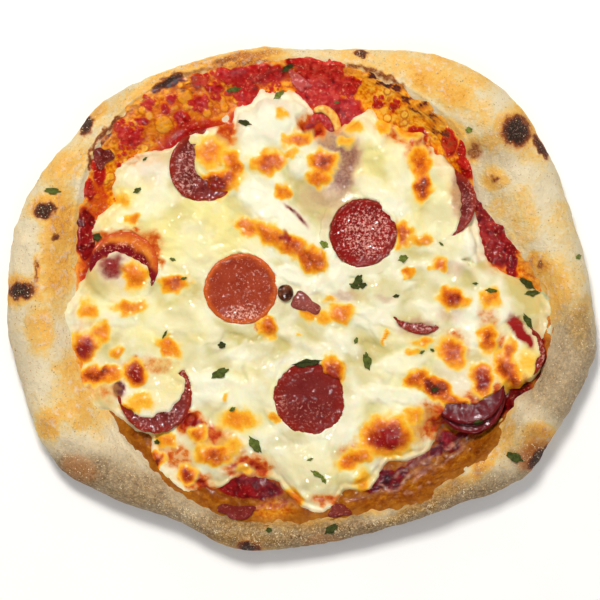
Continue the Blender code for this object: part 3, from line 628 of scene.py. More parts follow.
# Cooked tomato pulp and oil: deep crimson and wet, with a strong clear gloss. The oil-soaked
# crumb beside it is amber and shines as well.
cooked_tomato, add, sauce = new_material(
    "cooked_tomato_and_oil", sauce_marks, patch=(4.0, 4.0, 0.6), pulp=(1.5, 2.0, 0.5),
    fine=(0.6, 1.0, 0.5), wet=(2.2, 1.0, 0.4), specks=(1.0, 1.0, 0.5))
brightness = add("Mix", 0.5, sauce.patch, sauce.pulp)
# Painted highlight: the oil bubbles are made brighter toward their tops; the gold spot brightens
# the oil's own colour.
for place, rise in ((sauce.gold, 0.09), (sauce.bubble, 0.1)):
    brightness = add("Math", place, rise, brightness, operation="MULTIPLY_ADD")
bright_oil = add("ValToRGB", brightness, steps=(
    (0.38, "#BE4804"), (0.46, "#DC6E04"), (0.56, "#F09A10"), (0.7, "#FAC248")))
# Painted shade on the sloping sides of each oil bubble.
painted_bubble_rim_shade = broken_up(add, sauce.bubble, sauce.bubble, 3.0, 0.0)
bright_oil = add("Mix", painted_bubble_rim_shade, bright_oil, "#C24E0C", data_type="RGBA")
dark_oil = add("ValToRGB", add("Mix", 0.25, sauce.patch, sauce.pulp), steps=(
    (0.34, "#783404"), (0.47, "#8E4806"), (0.57, "#A45E0A"), (0.7, "#C48222")))
# Painted highlight: the tops of the pulp grains are made a lighter red.
pulp_and_grain_highlight = add("Math", sauce.grain, 0.12, add("Mix", 0.35, sauce.patch, sauce.pulp),
            operation="MULTIPLY_ADD")
crimson = add("ValToRGB", pulp_and_grain_highlight, steps=(
    (0.38, "#7C0804"), (0.49, "#A8100C"), (0.6, "#BC1E16"), (0.76, "#D44834")))
deep_crimson = add("ValToRGB", pulp_and_grain_highlight, steps=(
    (0.38, "#300002"), (0.5, "#580206"), (0.61, "#76040A"), (0.76, "#9A1618")))
crimson = add("Mix", sauce.deep, crimson, deep_crimson, data_type="RGBA")
crumb_edge = add("Mix", sauce.dark, "#EDAA4A", "#9C6220", data_type="RGBA")
red_edge = add("Mix", sauce.dark, "#D2480E", "#9C3C08", data_type="RGBA")
soaked = broken_up(add, sauce.lip, sauce.patch, -0.2, 1.3)
redness = broken_up(add, sauce.red, sauce.patch, -0.3, 0.25, "ADD")
redness = broken_up(add, redness, sauce.pulp, -0.2, 0.2, "ADD")
# Painted highlight: a pale pink along the folds of the skin stands in for the light they catch.
painted_fold_highlight = broken_up(add, sauce.folds, sauce.pulp, -0.1, 1.0)
# Painted highlights: pale specks, more on the red sauce and fewer on the dark oil, stand in for the
# glints of its wet gloss.
painted_sauce_glints = add("MapRange", sauce.specks, 0.64, 0.74)
for place, elsewhere, there in ((sauce.red, 0.2, 0.5), (sauce.dark, 1.0, 0.35)):
    painted_sauce_glints = broken_up(add, painted_sauce_glints, place, elsewhere, there)
scorch = broken_up(add, sauce.char, sauce.pulp, -0.1, 2.0)
scorch_colour = add("ValToRGB", scorch, steps=(
    (0.2, "#BC5A12"), (0.45, "#8A3A1C"), (0.7, "#5E2A22"), (1.0, "#342622")))
finish_material(
    cooked_tomato, bright_oil,
    ((sauce.dark, dark_oil), (soaked, crumb_edge),
     (add("MapRange", redness, 0.16, 0.44), red_edge),
     (add("MapRange", redness, 0.34, 0.7), crimson), (sauce.grooves, "#4A0F0A"),
     (painted_fold_highlight, "#E2AE8E"), (painted_sauce_glints, "#F6B88A"),
     (add("MapRange", scorch, 0.1, 0.55), scorch_colour)),
    relief=((sauce.patch, 0.7), (sauce.pulp, 0.5), (sauce.fine, 0.12)),
    wet_relief=((sauce.patch, 0.5), (sauce.wet, 0.45), (sauce.fine, 0.06)),
    Roughness=add("MapRange", sauce.fine, 0, 1, 0.4, 0.65), Coat_Weight=0.6, Coat_Roughness=0.08,
    Specular_IOR_Level=0.03, Subsurface_Weight=0.06, Subsurface_Scale=0.001)

piece = make_piece("tomato_and_oil", [(x, y, z, sauce_marks)], cooked_tomato)
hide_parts("tomato_sauce")

# ---------------------------------------------------------------- slices of salami
# Dry pork sausage cut across, 28 to 30 mm wide and 1.7 mm thick, laid on before and during
# baking: the fat has run, the edge is darker and a little raised, the face is speckled with
# lean and fat grains. Each has its middle, radius, height, tilt and curl.
SLICE_THICKNESS = 1.7
SLICE_AROUND = 132
SALAMI_SLICES = {
    "salami_slice_01": (-24, 4.2, 14.4, 12.2, 0, 0, 0.3),
    "salami_slice_02": (24.8, 26.6, 13.6, 12.3, 220, 2, 0.3),
    "salami_slice_03": (3.2, -39.4, 14.6, 12.4, 250, 1.5, -0.3),
    "salami_slice_04": (-38.4, 53.4, 14.4, 10.9, 195, 5, 0.4),
    "salami_slice_05": (-70.8, 13, 14, 10.9, 50, 5, 0.8),
    "salami_slice_06": (-58.4, -37.8, 15.2, 10.9, 285, 5, 0.6),
    "salami_slice_07": (65.6, -34.6, 15.2, 13.5, 300, 8, 0.5),
    "salami_slice_08": (67.6, -38.6, 14.4, 11.2, 300, 8, 0.5),
    "salami_slice_09": (86.4, -21, 11, 12.2, 350, 11, 0.4),
    "salami_slice_10": (11.6, 51.8, 13.6, 10.9, 60, 5, 0.3),
    "salami_slice_11": (55.6, 38.6, 14.4, 11, 15, 5, 0.3),
    "salami_slice_12": (47.6, -0.4, 13.2, 10.6, 270, 4, 0.3),
}


def slice_outline(turn, spec):
    """Radius of a slice at a turn round its middle, as a share of its plain radius: two slow
    waves and a fine noise along the cut edge."""
    x0, y0 = spec[:2]
    fine = rough_noise(x0 + 6.0 * np.cos(turn), y0 + 6.0 * np.sin(turn), 1.5, 65, 3)
    return 1.0 + 0.018 * np.sin(2.0 * turn + x0) + 0.012 * np.sin(3.0 * turn + y0) + 0.018 * fine


def slice_middle_height(x, y, spec):
    """Height of the middle of a slice and the share of its radius at each place: a tilted
    plane that curls up towards its slightly wavy rim."""
    x0, y0, radius, middle, rise_azimuth, tilt, curl = spec
    dx, dy = x - x0, y - y0
    share = np.hypot(dx, dy) / (radius * slice_outline(np.arctan2(dy, dx), spec))
    rise = tan(radians(tilt)) * (dx * cos(radians(rise_azimuth)) + dy * sin(radians(rise_azimuth)))
    return middle + rise + curl * np.minimum(share, 1.3) ** 2, share


def salami_material(name, lean, dark, fat, rim, size_mm, ripple_mm=0.6, dullness=0.09):
    """Dry cured salami: lean meat with wet grains of fat, close together where the piece is
    flecked, where the pale grains are partly painted highlights of the wet face, an oily
    rim of another colour, a crimson band where another slice has lain, and a strong gloss
    broken by ripples of the given depth."""
    salami, add, meat = new_material(
        name, ("casing", "band", "flecks"), patch=(5.0, 4.0, 0.6),
        marble=(size_mm, 3.0, 0.6, 0.4), fine=(0.6, 2.0, 0.5), wet=(1.6, 1.0, 0.4))
    flecked = broken_up(add, meat.marble, meat.flecks, -0.08, 0.1, "ADD")
    wetter = add("Math", meat.flecks, meat.casing, operation="MAXIMUM")
    ripples = broken_up(add, meat.wet, wetter, 0.25, 1.0)
    finish_material(
        salami, dark,
        ((add("MapRange", meat.patch, 0.35, 0.65), lean), (meat.casing, rim),
         (meat.band, "#7A0C16"), (add("MapRange", flecked, 0.53, 0.68), fat)),
        relief=((ripples, ripple_mm), (meat.fine, 0.15)), wet_relief=((ripples, ripple_mm),),
        Roughness=add("MapRange", meat.fine, 0, 1, 0.4, 0.65), Coat_Weight=0.6,
        Coat_Roughness=dullness, Specular_IOR_Level=0.05, Subsurface_Weight=0.06,
        Subsurface_Scale=0.001)
    return salami


brick_salami = salami_material("cured_salami_brick", "#A03E24", "#8E2E18", "#E2A48E",
                               "#D2601C", 0.9)
speckled_salami = salami_material("cured_salami_speckled", "#92120E", "#740808", "#DA9A8C",
                                  "#86200F", 0.9)
maroon_salami = salami_material("cured_salami_maroon", "#7A2622", "#6C1C1A", "#B87262",
                                "#8A1C0C", 1.1)
mauve_salami = salami_material("cured_salami_mauve", "#84302A", "#5E1612", "#C88C80",
                               "#92240E", 1.1)
crimson_salami = salami_material("cured_salami_crimson", "#721A20", "#520A12", "#8C4042",
                                 "#6E0A10", 1.6, 0.25, 0.2)
oily_salami = salami_material("cured_salami_oily", "#EC9636", "#D8681C", "#EE9C80",
                              "#C4401A", 1.1, 0.4)
# Lines of the bands that other slices left.
BAND_LINES = (
    (1, (87, 270, 7), (101, 252, 7.5), (118, 249, 7.5), (134, 254, 7.5), (148, 268, 7),
     (157, 286, 5.5)),
    (0.6, (276, 372, 3), (290, 364, 3.5), (312, 362, 3.5), (328, 368, 3)),
)
# Material, and the share of the radius where the oily rim begins.
SLICE_LOOKS = {"salami_slice_01": (brick_salami, 0.8), "salami_slice_02": (speckled_salami, 0.84),
               "salami_slice_03": (maroon_salami, 0.55), "salami_slice_05": (oily_salami, 0.82),
               "salami_slice_07": (crimson_salami, 0.88), "salami_slice_08": (crimson_salami, 0.8)}
# Spots where the face is wet and flecked: the pale fat grains there are partly real and partly
# painted highlights of the wet face.
FLECK_AND_GLINT_SPOTS = (
    (244, 313, 20, 9, 8, 0.85), (250, 275, 22, 22, 0, 0.18), (366, 234, 26, 25, 0, 0.85),
    (280, 403, 8, 10, 0, 0.8), (308, 415, 26, 16, 0, 0.35), (188, 172, 14, 30, -15, 0.75),
    (168, 408, 6, 13, 35, 0.6), (140, 424, 20, 7, -15, 0.35), (184, 385, 6, 22, 0, 0.5),
    (120, 246, 30, 4, 10, 0.5), (470, 198, 8, 26, 0, 0.6), (420, 326, 22, 7, 0, 0.7),
    (512, 388, 8, 12, 0, 0.6), (543, 356, 5, 22, 0, 0.6),
)

slice_shares = np.concatenate([
    np.linspace(0.0, 0.9, 16), 1.0 - 0.1 * (1.0 - np.sin(np.radians(np.linspace(15, 90, 6)))),
    1.0 - 0.06 * (1.0 - np.cos(np.radians(np.linspace(20, 90, 4)))), [0.6, 0.0]])
slice_levels = np.concatenate([
    np.ones(16), np.cos(np.radians(np.linspace(15, 90, 6))) ** 0.7,
    -np.sin(np.radians(np.linspace(20, 90, 4))), [-1.0, -1.0]])
azimuth = full_turn(SLICE_AROUND)
for name, spec in SALAMI_SLICES.items():
    x0, y0, radius = spec[:3]
    reach = slice_shares[:, None] * radius * slice_outline(azimuth, spec)
    x, y = x0 + reach * np.cos(azimuth), y0 + reach * np.sin(azimuth)
    z, share = slice_middle_height(x, y, spec)
    material, rim_start = SLICE_LOOKS.get(name, (mauve_salami, 0.78))
    casing = smooth_step(share + 0.04 * rough_noise(x, y, 3.0, 62, 2), rim_start, 0.97)
    relief = 0.16 * rough_noise(x, y, 4.0, 61, 4) + 0.16 * np.exp(-((share - 0.92) / 0.06) ** 2)
    relief = relief + 0.16 * casing * rough_noise(x, y, 1.4, 63, 2)
    z = z + slice_levels[:, None] * 0.5 * SLICE_THICKNESS + relief * (slice_levels > 0.0)[:, None]
    flecks = soft_spots(*uneven(x, y, 0.8, 2.6, 64), FLECK_AND_GLINT_SPOTS, 0.5)
    band = soft_spots(*uneven(x, y, 0.4, 2.6, 66), strokes(BAND_LINES), 0.35)
    piece = make_piece(name.replace("salami_slice", "sliced_salami"),
                       [(x, y, z, {"casing": 0.85 * casing, "flecks": flecks, "band": band})],
                       material)
    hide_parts(name)

# ---------------------------------------------------------------- melted cheese
# Mozzarella melted into a lumpy sheet: cream and pale yellow, glossy with oil, orange where
# tomato oil has come up, browned on its blisters. It drapes over the slices that went on
# before it and lies round the ones on top.
CHEESE_THICKNESS = 3.1
GAP = 0.3
CHEESE_LIFT = 0.35
EDGE_ROUNDING = 8.0
EDGE_FILM, FILM_THICKNESS = 2.6, 0.45
BLISTER_HEIGHT = 1.5
DRAPE_THICKNESS, DRAPE_SLOPE = 0.65, 1.1
FAR_BELOW = -9.0
CHEESE_AROUND = 800
UNDER_CHEESE = np.array([0.98, 0.85, 0.7, 0.0])
CHEESE_EDGE = (
    97, 78, 76.5, 76, 78, 79, 78.4, 80.4, 66, 81, 82, 74.4, 76, 78.4, 88.4, 88.4, 86, 86, 90, 92,
    92, 87.5, 83.2, 87.4, 88, 80, 72, 81, 82, 79.6, 78, 77.6, 78, 82, 95, 97.6,
)
# x, y, half length, half width, turn, height.
CHEESE_LUMPS = (
    (-11.6, 73.8, 14, 11, 20, 3.4), (30, 61.8, 13, 15, 0, 2.8), (-2, 56, 12, 9, 20, 1.6),
    (69.2, 21.8, 6, 8, 0, 1.8), (-33, 57, 9, 8, 0, 2.6), (-6, 24.6, 16, 4.6, -35, 1.4),
    (10, -6.6, 12, 4, -5, 1.2), (3.6, -72, 13, 11, 0, 1.9), (51.6, -34.2, 12, 6.5, -15, 2),
    (34, -54.2, 8, 7, 0, 1.9), (90.4, -24.6, 6.5, 8, 0, 2.6), (72, -20, 10, 10, 0, 1.6),
    (60.4, 0.2, 5.5, 5.5, 0, 1.4), (-34.4, -62.2, 6.5, 6.5, 0, 1.6), (-38.4, -75, 9, 4.5, -20, 1.4),
    (-87.6, -18.6, 5.5, 5.5, 0, 1.6), (23.6, -72.2, 4.5, 5, 0, 1.6), (-65.2, 9.8, 5.5, 5, 0, 1.2),
    (-60, 30, 18, 12, 0, 0.8),
)
# Spots of the browned blisters.
TOASTED_SPOTS = (
    (268, 162, 15, 10, 10, 0.72), (297, 140, 13, 6, 15, 0.6), (290, 154, 11, 5, 0, 0.38),
    (323, 163, 12, 10, 0, 0.8), (318, 178, 10, 8, 0, 0.6), (283, 192, 8, 7, -40, 0.55),
    (247, 226, 12, 8, -35, 0.56), (269, 234, 16, 9, -25, 0.66), (291, 246, 17, 10, -32, 0.72),
    (311, 259, 16, 10, -32, 0.76), (268, 326, 7, 11, 20, 0.7), (309, 312, 10, 7, 0, 0.5),
    (342, 313, 12, 8, 0, 0.56), (325, 318, 13, 7, 0, 0.38), (403, 234, 8, 12, 0, 0.72),
    (422, 240, 12, 6, -10, 0.45), (420, 162, 8, 14, 0, 0.72), (422, 186, 9, 13, 0, 0.85),
    (438, 264, 6, 6, 0, 0.62), (408, 272, 6, 4, 0, 0.62), (453, 299, 12, 9, -15, 0.84),
    (490, 298, 8, 9, 0, 0.52), (487, 339, 8, 11, 0, 0.76), (510, 352, 6, 12, 0, 0.62),
    (481, 380, 9, 14, 0, 0.97), (508, 374, 9, 22, 30, 0.8), (452, 352, 10, 15, 40, 0.72),
    (417, 378, 13, 8, 20, 0.7), (435, 387, 16, 7, -22, 0.96), (456, 402, 14, 5, -38, 0.7),
    (470, 411, 8, 3, -10, 0.6), (387, 436, 22, 17, 0, 0.85), (354, 458, 17, 8, 25, 0.62),
    (84, 347, 12, 13, 0, 0.85), (84, 348, 8, 10, 0, 1.1), (101, 332, 8, 9, 0, 0.52),
    (88, 310, 9, 9, 0, 0.5), (130, 307, 15, 7, 0, 0.54), (175, 283, 14, 7, 10, 0.7),
    (134, 219, 8, 5, 10, 0.55), (121, 200, 10, 9, 0, 0.36), (98, 375, 22, 7, 8, 0.84),
    (104, 372, 10, 5, 20, 0.95), (168, 347, 12, 8, -30, 0.58), (238, 420, 18, 10, 0, 0.48),
    (214, 455, 15, 10, 0, 0.72), (156, 460, 6, 7, 0, 1), (130, 409, 9, 4, -10, 0.5),
    (140, 402, 15, 8, 0, 0.34), (188, 475, 8, 8, 0, 0.8), (199, 434, 8, 8, 0, 0.62),
    (295, 497, 10, 7, -20, 0.62), (136, 373, 9, 11, 0, 0.95), (210, 152, 15, 14, 0, 0.52),
    (216, 184, 22, 11, 20, 0.92), (233, 165, 8, 14, 0, 0.66), (135, 276, 12, 12, 0, 0.6),
    (282, 112, 6, 6, 0, 0.34), (355, 127, 9, 7, 0, 0.36), (383, 125, 8, 8, 0, 0.4),
    (345, 142, 8, 6, 0, 0.34), (410, 128, 10, 10, -40, 0.55), (276, 417, 6, 4, 0, 0.45),
    (333, 371, 10, 13, 20, 0.78), (385, 338, 2, 7, -10, 0.52), (245, 470, 8, 5, 0, 0.36),
    (362, 482, 8, 12, 0, 0.42), (528, 362, 12, 15, 0, 0.24), (118, 352, 6, 5, 0, 0.45),
    (225, 398, 4, 3, 0, 0.3), (300, 335, 3, 2, 0, 0.3), (448, 398, 18, 6, -20, 0.66),
    (415, 415, 10, 9, 0, 0.4), (424, 342, 9, 6, 10, 0.42), (412, 352, 6, 4, 0, 0.36),
    (466, 404, 5, 5, 0, 0.55), (165, 440, 12, 7, -20, 0.5), (232, 445, 12, 8, 0, 0.35),
    (330, 300, 7, 4, 0, 0.34),
)
# Spots of the thick white streams of cheese.
CHEESE_STREAMS = (
    (264, 116, 27, 29, 20, 1), (266, 203, 46, 12, -33, 1), (326, 262, 30, 12, -48, 1),
    (296, 278, 26, 7, -25, 0.9), (232, 392, 40, 16, -15, 0.8), (178, 318, 34, 15, 10, 0.4),
    (382, 197, 30, 11, -38, 1), (442, 222, 16, 30, 8, 0.5), (474, 243, 9, 19, 0, 1),
    (467, 322, 13, 28, -5, 1), (300, 462, 34, 26, 10, 0.6), (400, 362, 26, 10, 15, 0.8),
    (396, 396, 30, 9, -8, 0.9), (378, 318, 26, 7, -20, 0.7), (150, 205, 34, 12, 18, 0.7),
    (136, 172, 24, 10, 25, 0.8), (350, 348, 18, 8, -30, 0.5), (372, 130, 22, 16, 0, 0.9),
    (400, 170, 14, 26, 5, 0.7), (120, 318, 20, 9, -10, 0.7), (250, 350, 26, 8, 8, 0.6),
    (345, 425, 16, 26, -20, 0.8), (318, 440, 10, 30, 5, 0.7), (198, 250, 20, 30, 15, 0.6),
    (150, 388, 22, 18, 0, 0.6), (500, 310, 12, 12, 0, 0.8),
)
# Spots of red or orange oil and sauce that show through thin cheese.
STAIN_SPOTS = (
    (190, 424, 16, 14, -30, 0.8), (216, 442, 22, 17, -20, 0.62), (175, 455, 22, 14, -30, 0.5),
    (387, 437, 14, 11, 0, 1), (387, 437, 24, 20, 0, 0.55), (352, 452, 18, 12, 20, 0.45),
    (430, 420, 30, 20, 20, 0.6), (450, 440, 14, 14, 0, 0.9), (480, 400, 30, 14, 15, 0.7),
    (503, 360, 9, 26, 10, 0.66), (440, 424, 12, 14, 20, 0.66), (138, 400, 20, 13, 0, 0.15),
    (455, 345, 14, 18, 30, 0.48), (488, 322, 12, 22, 0, 0.42), (400, 122, 22, 22, 0, 0.6),
    (418, 150, 14, 26, 0, 0.55), (284, 238, 5, 4, 0, 1), (312, 128, 14, 14, 0, 0.85),
    (222, 140, 12, 8, 0, 0.75), (150, 365, 30, 10, 0, 0.4), (136, 370, 14, 14, 0, 0.6),
    (84, 346, 12, 14, 0, 0.95), (265, 325, 9, 12, 0, 0.6), (150, 242, 16, 12, -40, 0.55),
    (112, 240, 20, 10, 0, 0.6), (498, 252, 10, 18, 0, 0.8), (248, 468, 26, 14, 0, 0.66),
    (235, 452, 12, 12, 0, 0.45), (335, 120, 12, 14, 0, 0.55), (330, 500, 22, 8, 0, 0.5),
    (195, 480, 24, 10, -30, 0.72), (105, 160, 12, 10, 0, 0.45), (130, 160, 26, 7, 5, 0.34),
    (106, 188, 10, 22, 0, 0.36), (160, 378, 22, 18, 0, 0.12), (96, 388, 26, 12, -20, 0.4),
    (86, 320, 12, 30, 0, 0.26), (515, 385, 16, 10, 40, 0.6), (225, 128, 14, 10, 0, 0.6),
    (440, 262, 6, 6, 0, 0.5), (338, 376, 8, 14, 0, 0.66),
)
# Deep red middles of the hottest blisters.
RED_CORES = (
    (387, 438, 16, 11, 0, 1), (85, 348, 8, 10, 0, 0.7), (285, 238, 6, 5, 0, 0.95),
    (331, 378, 8, 8, 0, 0.85), (137, 373, 8, 9, 0, 0.75), (452, 299, 7, 5, 0, 0.5),
    (481, 378, 6, 9, 0, 0.5), (216, 186, 14, 6, 20, 0.55), (188, 476, 5, 5, 0, 0.6),
    (520, 331, 18, 6, -55, 1.6), (114, 267, 9, 9, 0, 0.8), (103, 262, 5, 6, 0, 0.6),
)
# Yellower cheese, and grey-green spots: partly the tone of thin cheese over dough, partly painted
# shade.
YELLOW_SPOTS = (
    (195, 232, 62, 42, 0, 0.95), (120, 200, 34, 34, 0, 0.75), (165, 322, 60, 40, 0, 0.6),
    (375, 155, 42, 46, 0, 0.8), (440, 205, 30, 50, 0, 0.65), (320, 470, 50, 34, 0, 0.62),
    (250, 400, 40, 40, 0, 0.45), (395, 360, 40, 40, 0, 0.5), (528, 362, 14, 18, 0, 1),
    (205, 152, 20, 18, 0, 0.95), (362, 480, 10, 14, 0, 0.95), (240, 420, 24, 14, 0, 0.9),
    (100, 300, 24, 24, 0, 0.6), (90, 385, 30, 20, 0, 0.8), (468, 350, 16, 26, 0, 0.15),
    (160, 380, 26, 24, 0, 1.1), (375, 415, 30, 16, 0, 0.5), (245, 470, 10, 6, 0, 0.9),
)
GREY_SPOTS = (
    (290, 470, 40, 24, 0, 0.55), (425, 335, 44, 22, 0, 0.5), (528, 300, 20, 44, 0, 0.85),
    (96, 285, 14, 20, 0, 0.75), (330, 208, 22, 18, -30, 0.75), (300, 190, 24, 10, -50, 0.6),
    (362, 290, 14, 16, 0, 0.65), (385, 290, 20, 12, 0, 0.55), (345, 395, 8, 34, 0, 0.5),
    (205, 270, 10, 40, 0, 0.4), (240, 335, 50, 14, 0, 0.45), (365, 350, 24, 14, 0, 0.45),
    (310, 330, 20, 16, 0, 0.5), (262, 380, 12, 30, 0, 0.45), (130, 345, 26, 14, 0, 0.35),
    (285, 440, 26, 10, 20, 0.45), (430, 250, 26, 24, 0, 0.35), (470, 275, 14, 30, 0, 0.4),
    (236, 158, 10, 26, 0, 0.45), (150, 185, 20, 20, 0, 0.25), (470, 285, 20, 8, 0, 0.5),
    (270, 345, 22, 14, 0, 1), (438, 214, 16, 14, 0, 0.85), (180, 320, 20, 14, 0, 0.5),
    (425, 340, 18, 12, 0, 0.85),
)
# The orange and red oil round the slice on the left and below the ones on the right.
STAIN_LINES = (
    (0.5, (108, 238, 3), (128, 229, 3), (145, 237, 4), (158, 252, 4), (163, 270, 3)),
    (0.6, (428, 410, 5), (452, 415, 5), (476, 408, 5), (492, 397, 5), (499, 380, 5)),
)
# Salami seen dimly through the cheese that lies on it.
VEILED_SPOTS = (
    (343, 163, 17, 36, -8, 0.85), (335, 142, 20, 14, -20, 0.8), (330, 195, 26, 14, 0, 0.5),
    (312, 195, 14, 16, 0, 0.35), (462, 196, 12, 28, 8, 0.75), (418, 327, 20, 8, 0, 0.6),
    (345, 296, 14, 6, 0, 0.5), (150, 165, 18, 16, 0, 0.3), (122, 268, 26, 26, 0, 0.35),
    (112, 267, 13, 13, 10, 0.95), (120, 388, 7, 10, 10, 1.1), (155, 394, 34, 32, 0, 0.12),
    (470, 385, 34, 30, 0, 0.25), (450, 312, 14, 10, 0, 0.4), (385, 298, 8, 4, 0, 0.4),
    (452, 268, 12, 8, 0, 0.4), (492, 240, 12, 30, 0, 0.3), (235, 452, 10, 8, 0, 0.3),
    (330, 222, 14, 8, -30, 0.4),
)
# Line of painted shade along a crevice in the cheese: it darkens the colour only.
CREVICE_SHADE_LINES = ((1.0, (286, 206, 1.6), (296, 213, 2.6), (306, 225, 1.8)),)
# Spots where the cheese lies over each slice. The rest of the slice is open.
COVERS = {
    "salami_slice_01": (),
    "salami_slice_02": ((396, 208, 24, 13, -50, 1),),
    "salami_slice_03": ((336, 366, 15, 12, -30, 1),),
    "salami_slice_04": ((227, 156, 34, 38, 0, 1), (196, 138, 8, 6, 30, 1)),
    "salami_slice_05": ((119, 287, 34, 36, 0, 1),),
    "salami_slice_06": ((150, 386, 35, 31, 0, 1), (152, 362, 40, 16, 0, 1)),
    "salami_slice_07": ((457, 362, 60, 46, 0, 1), (425, 400, 24, 22, 0, 1)),
    "salami_slice_08": ((457, 362, 61, 46, 0, 1), (425, 400, 24, 22, 0, 1)),
    "salami_slice_09": ((510, 352, 31, 36, 0, 1),),
    "salami_slice_10": ((330, 170, 60, 60, 0, 1),),
    "salami_slice_11": ((429, 203, 34, 52, 0, 1),),
    "salami_slice_12": ((421, 295, 46, 31, 0, 1), (448, 322, 12, 10, 0, 1)),
}
# How far the cheese stands above the face of a slice at its rim.
SLICE_LAPS = {"salami_slice_01": -0.45, "salami_slice_02": -0.25, "salami_slice_03": 0.35}
# Spots where the cheese has run off the sauce, and tongues that run out over it: azimuth
# and half width in degrees, length. A notch has less than no length.
OPEN_SAUCE = (
    (500, 240, 16, 32, 8, 1), (312, 122, 12, 10, 0, 0.9), (452, 441, 9, 11, 0, 0.9),
    (460, 168, 5, 18, 10, 0.7), (440, 140, 8, 10, 0, 0.6), (190, 420, 6, 6, 0, 0.6),
    (520, 330, 8, 14, -20, 0.9), (344, 112, 6, 9, 0, 0.7), (468, 262, 6, 3, -40, 0.8),
)
EDGE_TONGUES = (
    (108, 3, 6), (101, 3, 3), (119, 3, -2), (128, 2.5, 2.5), (66, 3, -2.5), (54, 3, 3), (41, 3, -1),
    (26, 2.5, 1.5), (152, 3, -4), (161, 2.5, 2), (171, 3, -3), (184, 2.5, 2), (196, 2.5, -2),
    (207, 3, 2), (222, 2.5, -3), (243, 3, -2), (251, 3.5, -4.5), (274, 5, 2.5), (289, 2, 0.5),
    (283, 2.5, -4), (298, 4, -5), (309, 3, 2), (318, 3, -3), (335, 4, -3), (347, 3, -2),
)


def cheese_thickness(x, y):
    """Thickness of the cheese: a plain sheet and a bell for each lump, with a rounded edge
    that has a tongue or a notch as a bell over the azimuth, and a thin film beyond it."""
    azimuth, radius = np.arctan2(y, x), np.hypot(x, y)
    limit = round_the_clock(CHEESE_EDGE, azimuth) + 0.9 * rough_noise(x, y, 5.0, 71, 3)
    for middle, half_width, depth in EDGE_TONGUES:
        limit = limit + depth * bell(azimuth, middle, half_width)
    sheet = np.full_like(x, CHEESE_THICKNESS)
    for lx, ly, half_length, half_width, turn, height in CHEESE_LUMPS:
        along = (x - lx) * cos(radians(turn)) + (y - ly) * sin(radians(turn))
        across = (y - ly) * cos(radians(turn)) - (x - lx) * sin(radians(turn))
        sheet = sheet + height * np.exp(
            -1.3 * ((along / half_length) ** 2 + (across / half_width) ** 2))
    share = radius / np.maximum(limit, 1.0)
    body = share / (1.0 - EDGE_FILM / np.maximum(limit, 1.0))
    rounded = np.sqrt(np.clip(1.0 - np.clip(body, 0.0, 1.2) ** EDGE_ROUNDING, 0.0, 1.0))
    film = FILM_THICKNESS + 0.25 * soft_noise(x, y, 2.4, 90)
    return np.maximum(sheet * rounded, film) - 2.4 * smooth_step(share, 0.99, 1.02)


def cheese_lobes(x, y):
    """Heights of the melted lobes, how deep each place lies in a crease between them, and
    the streams: soft swells of two noises, and bells along the zero lines of another."""
    across, down = uneven(x, y, 3.0, 18.0, 73)
    flow = (0.55 * (0.77 * across - 0.64 * down), 0.64 * across + 0.77 * down)
    lobes = 2.0 * smooth_step(soft_noise(*flow, 8.0, 76), -0.9, 0.9) - 1.05
    lobes = lobes + 0.6 * smooth_step(soft_noise(across, down, 4.6, 82), -0.7, 0.8)
    streams = soft_spots(*uneven(x, y, 1.4, 5.0, 87), CHEESE_STREAMS, 0.35)
    crease = np.exp(-(soft_noise(*flow, 9.0, 83) / 0.1) ** 2)
    crease = crease * smooth_step(soft_noise(x, y, 12.0, 84), 0.15, 0.7) * (1.0 - streams)
    return lobes * (1.0 - 0.4 * streams) + 1.2 * streams, crease, streams


def cheese_top(x, y):
    """Top of the cheese and how browned it is: the dough, the sauce and the cheese on it,
    with melted folds, draped over each covered slice. It dips below an open one."""
    toast = soft_spots(*uneven(*uneven(x, y, 1.5, 5.0, 72), 0.4, 1.9, 88), TOASTED_SPOTS, 0.8)
    thick = cheese_thickness(x, y)
    lobes, crease = cheese_lobes(x, y)[:2]
    folds = lobes - 0.3 * crease + 0.12 * rough_noise(x, y, 2.6, 74, 2)
    blister = toast * (BLISTER_HEIGHT + 0.5 * rough_noise(x, y, 2.4, 77, 2))
    body = np.clip(thick / CHEESE_THICKNESS, 0.0, 1.0)
    gone = soft_spots(*uneven(x, y, 1.2, 4.0, 78), OPEN_SAUCE, 0.35)
    base = dough_top(x, y) + GAP + SAUCE_THICKNESS + GAP + CHEESE_LIFT * body
    z = base + thick * (1.0 - gone) + body * (1.0 - gone) * (folds + blister) - 0.9 * gone
    ragged = uneven(x, y, 1.0, 4.5, 79)
    for name, spec in SALAMI_SLICES.items():
        middle, share = slice_middle_height(x, y, spec)
        beyond = np.maximum(share - 1.0, 0.0) * spec[2]
        near = share < 1.6
        over = middle + 0.5 * SLICE_THICKNESS + DRAPE_THICKNESS + 0.3 * folds + 0.7 * blister
        drape = np.where(near, over - DRAPE_SLOPE * beyond, FAR_BELOW)
        covered = soft_spots(*ragged, COVERS[name], 0.12)
        creep = 0.035 * soft_noise(x, y, 4.5, 85) + 0.03 * soft_noise(x, y, 1.8, 86)
        lap = SLICE_LAPS.get(name, FAR_BELOW)
        against = middle + 0.5 * SLICE_THICKNESS + lap - 0.3 * beyond
        z = np.where((share > 0.8) & (beyond < 4.0), np.maximum(z, against), z)
        inward = 0.035 * smooth_step(lap, -0.3, 0.3)
        open_face = (1.0 - covered) * smooth_step(-share - creep - inward, -1.015, -0.965)
        draped = np.maximum(z, drape) * covered + z * (1.0 - covered)
        z = np.where(near, draped, z)
        under = middle - 0.5 * SLICE_THICKNESS - GAP
        z = z * (1.0 - open_face) + np.minimum(z, under) * open_face
    return z, toast


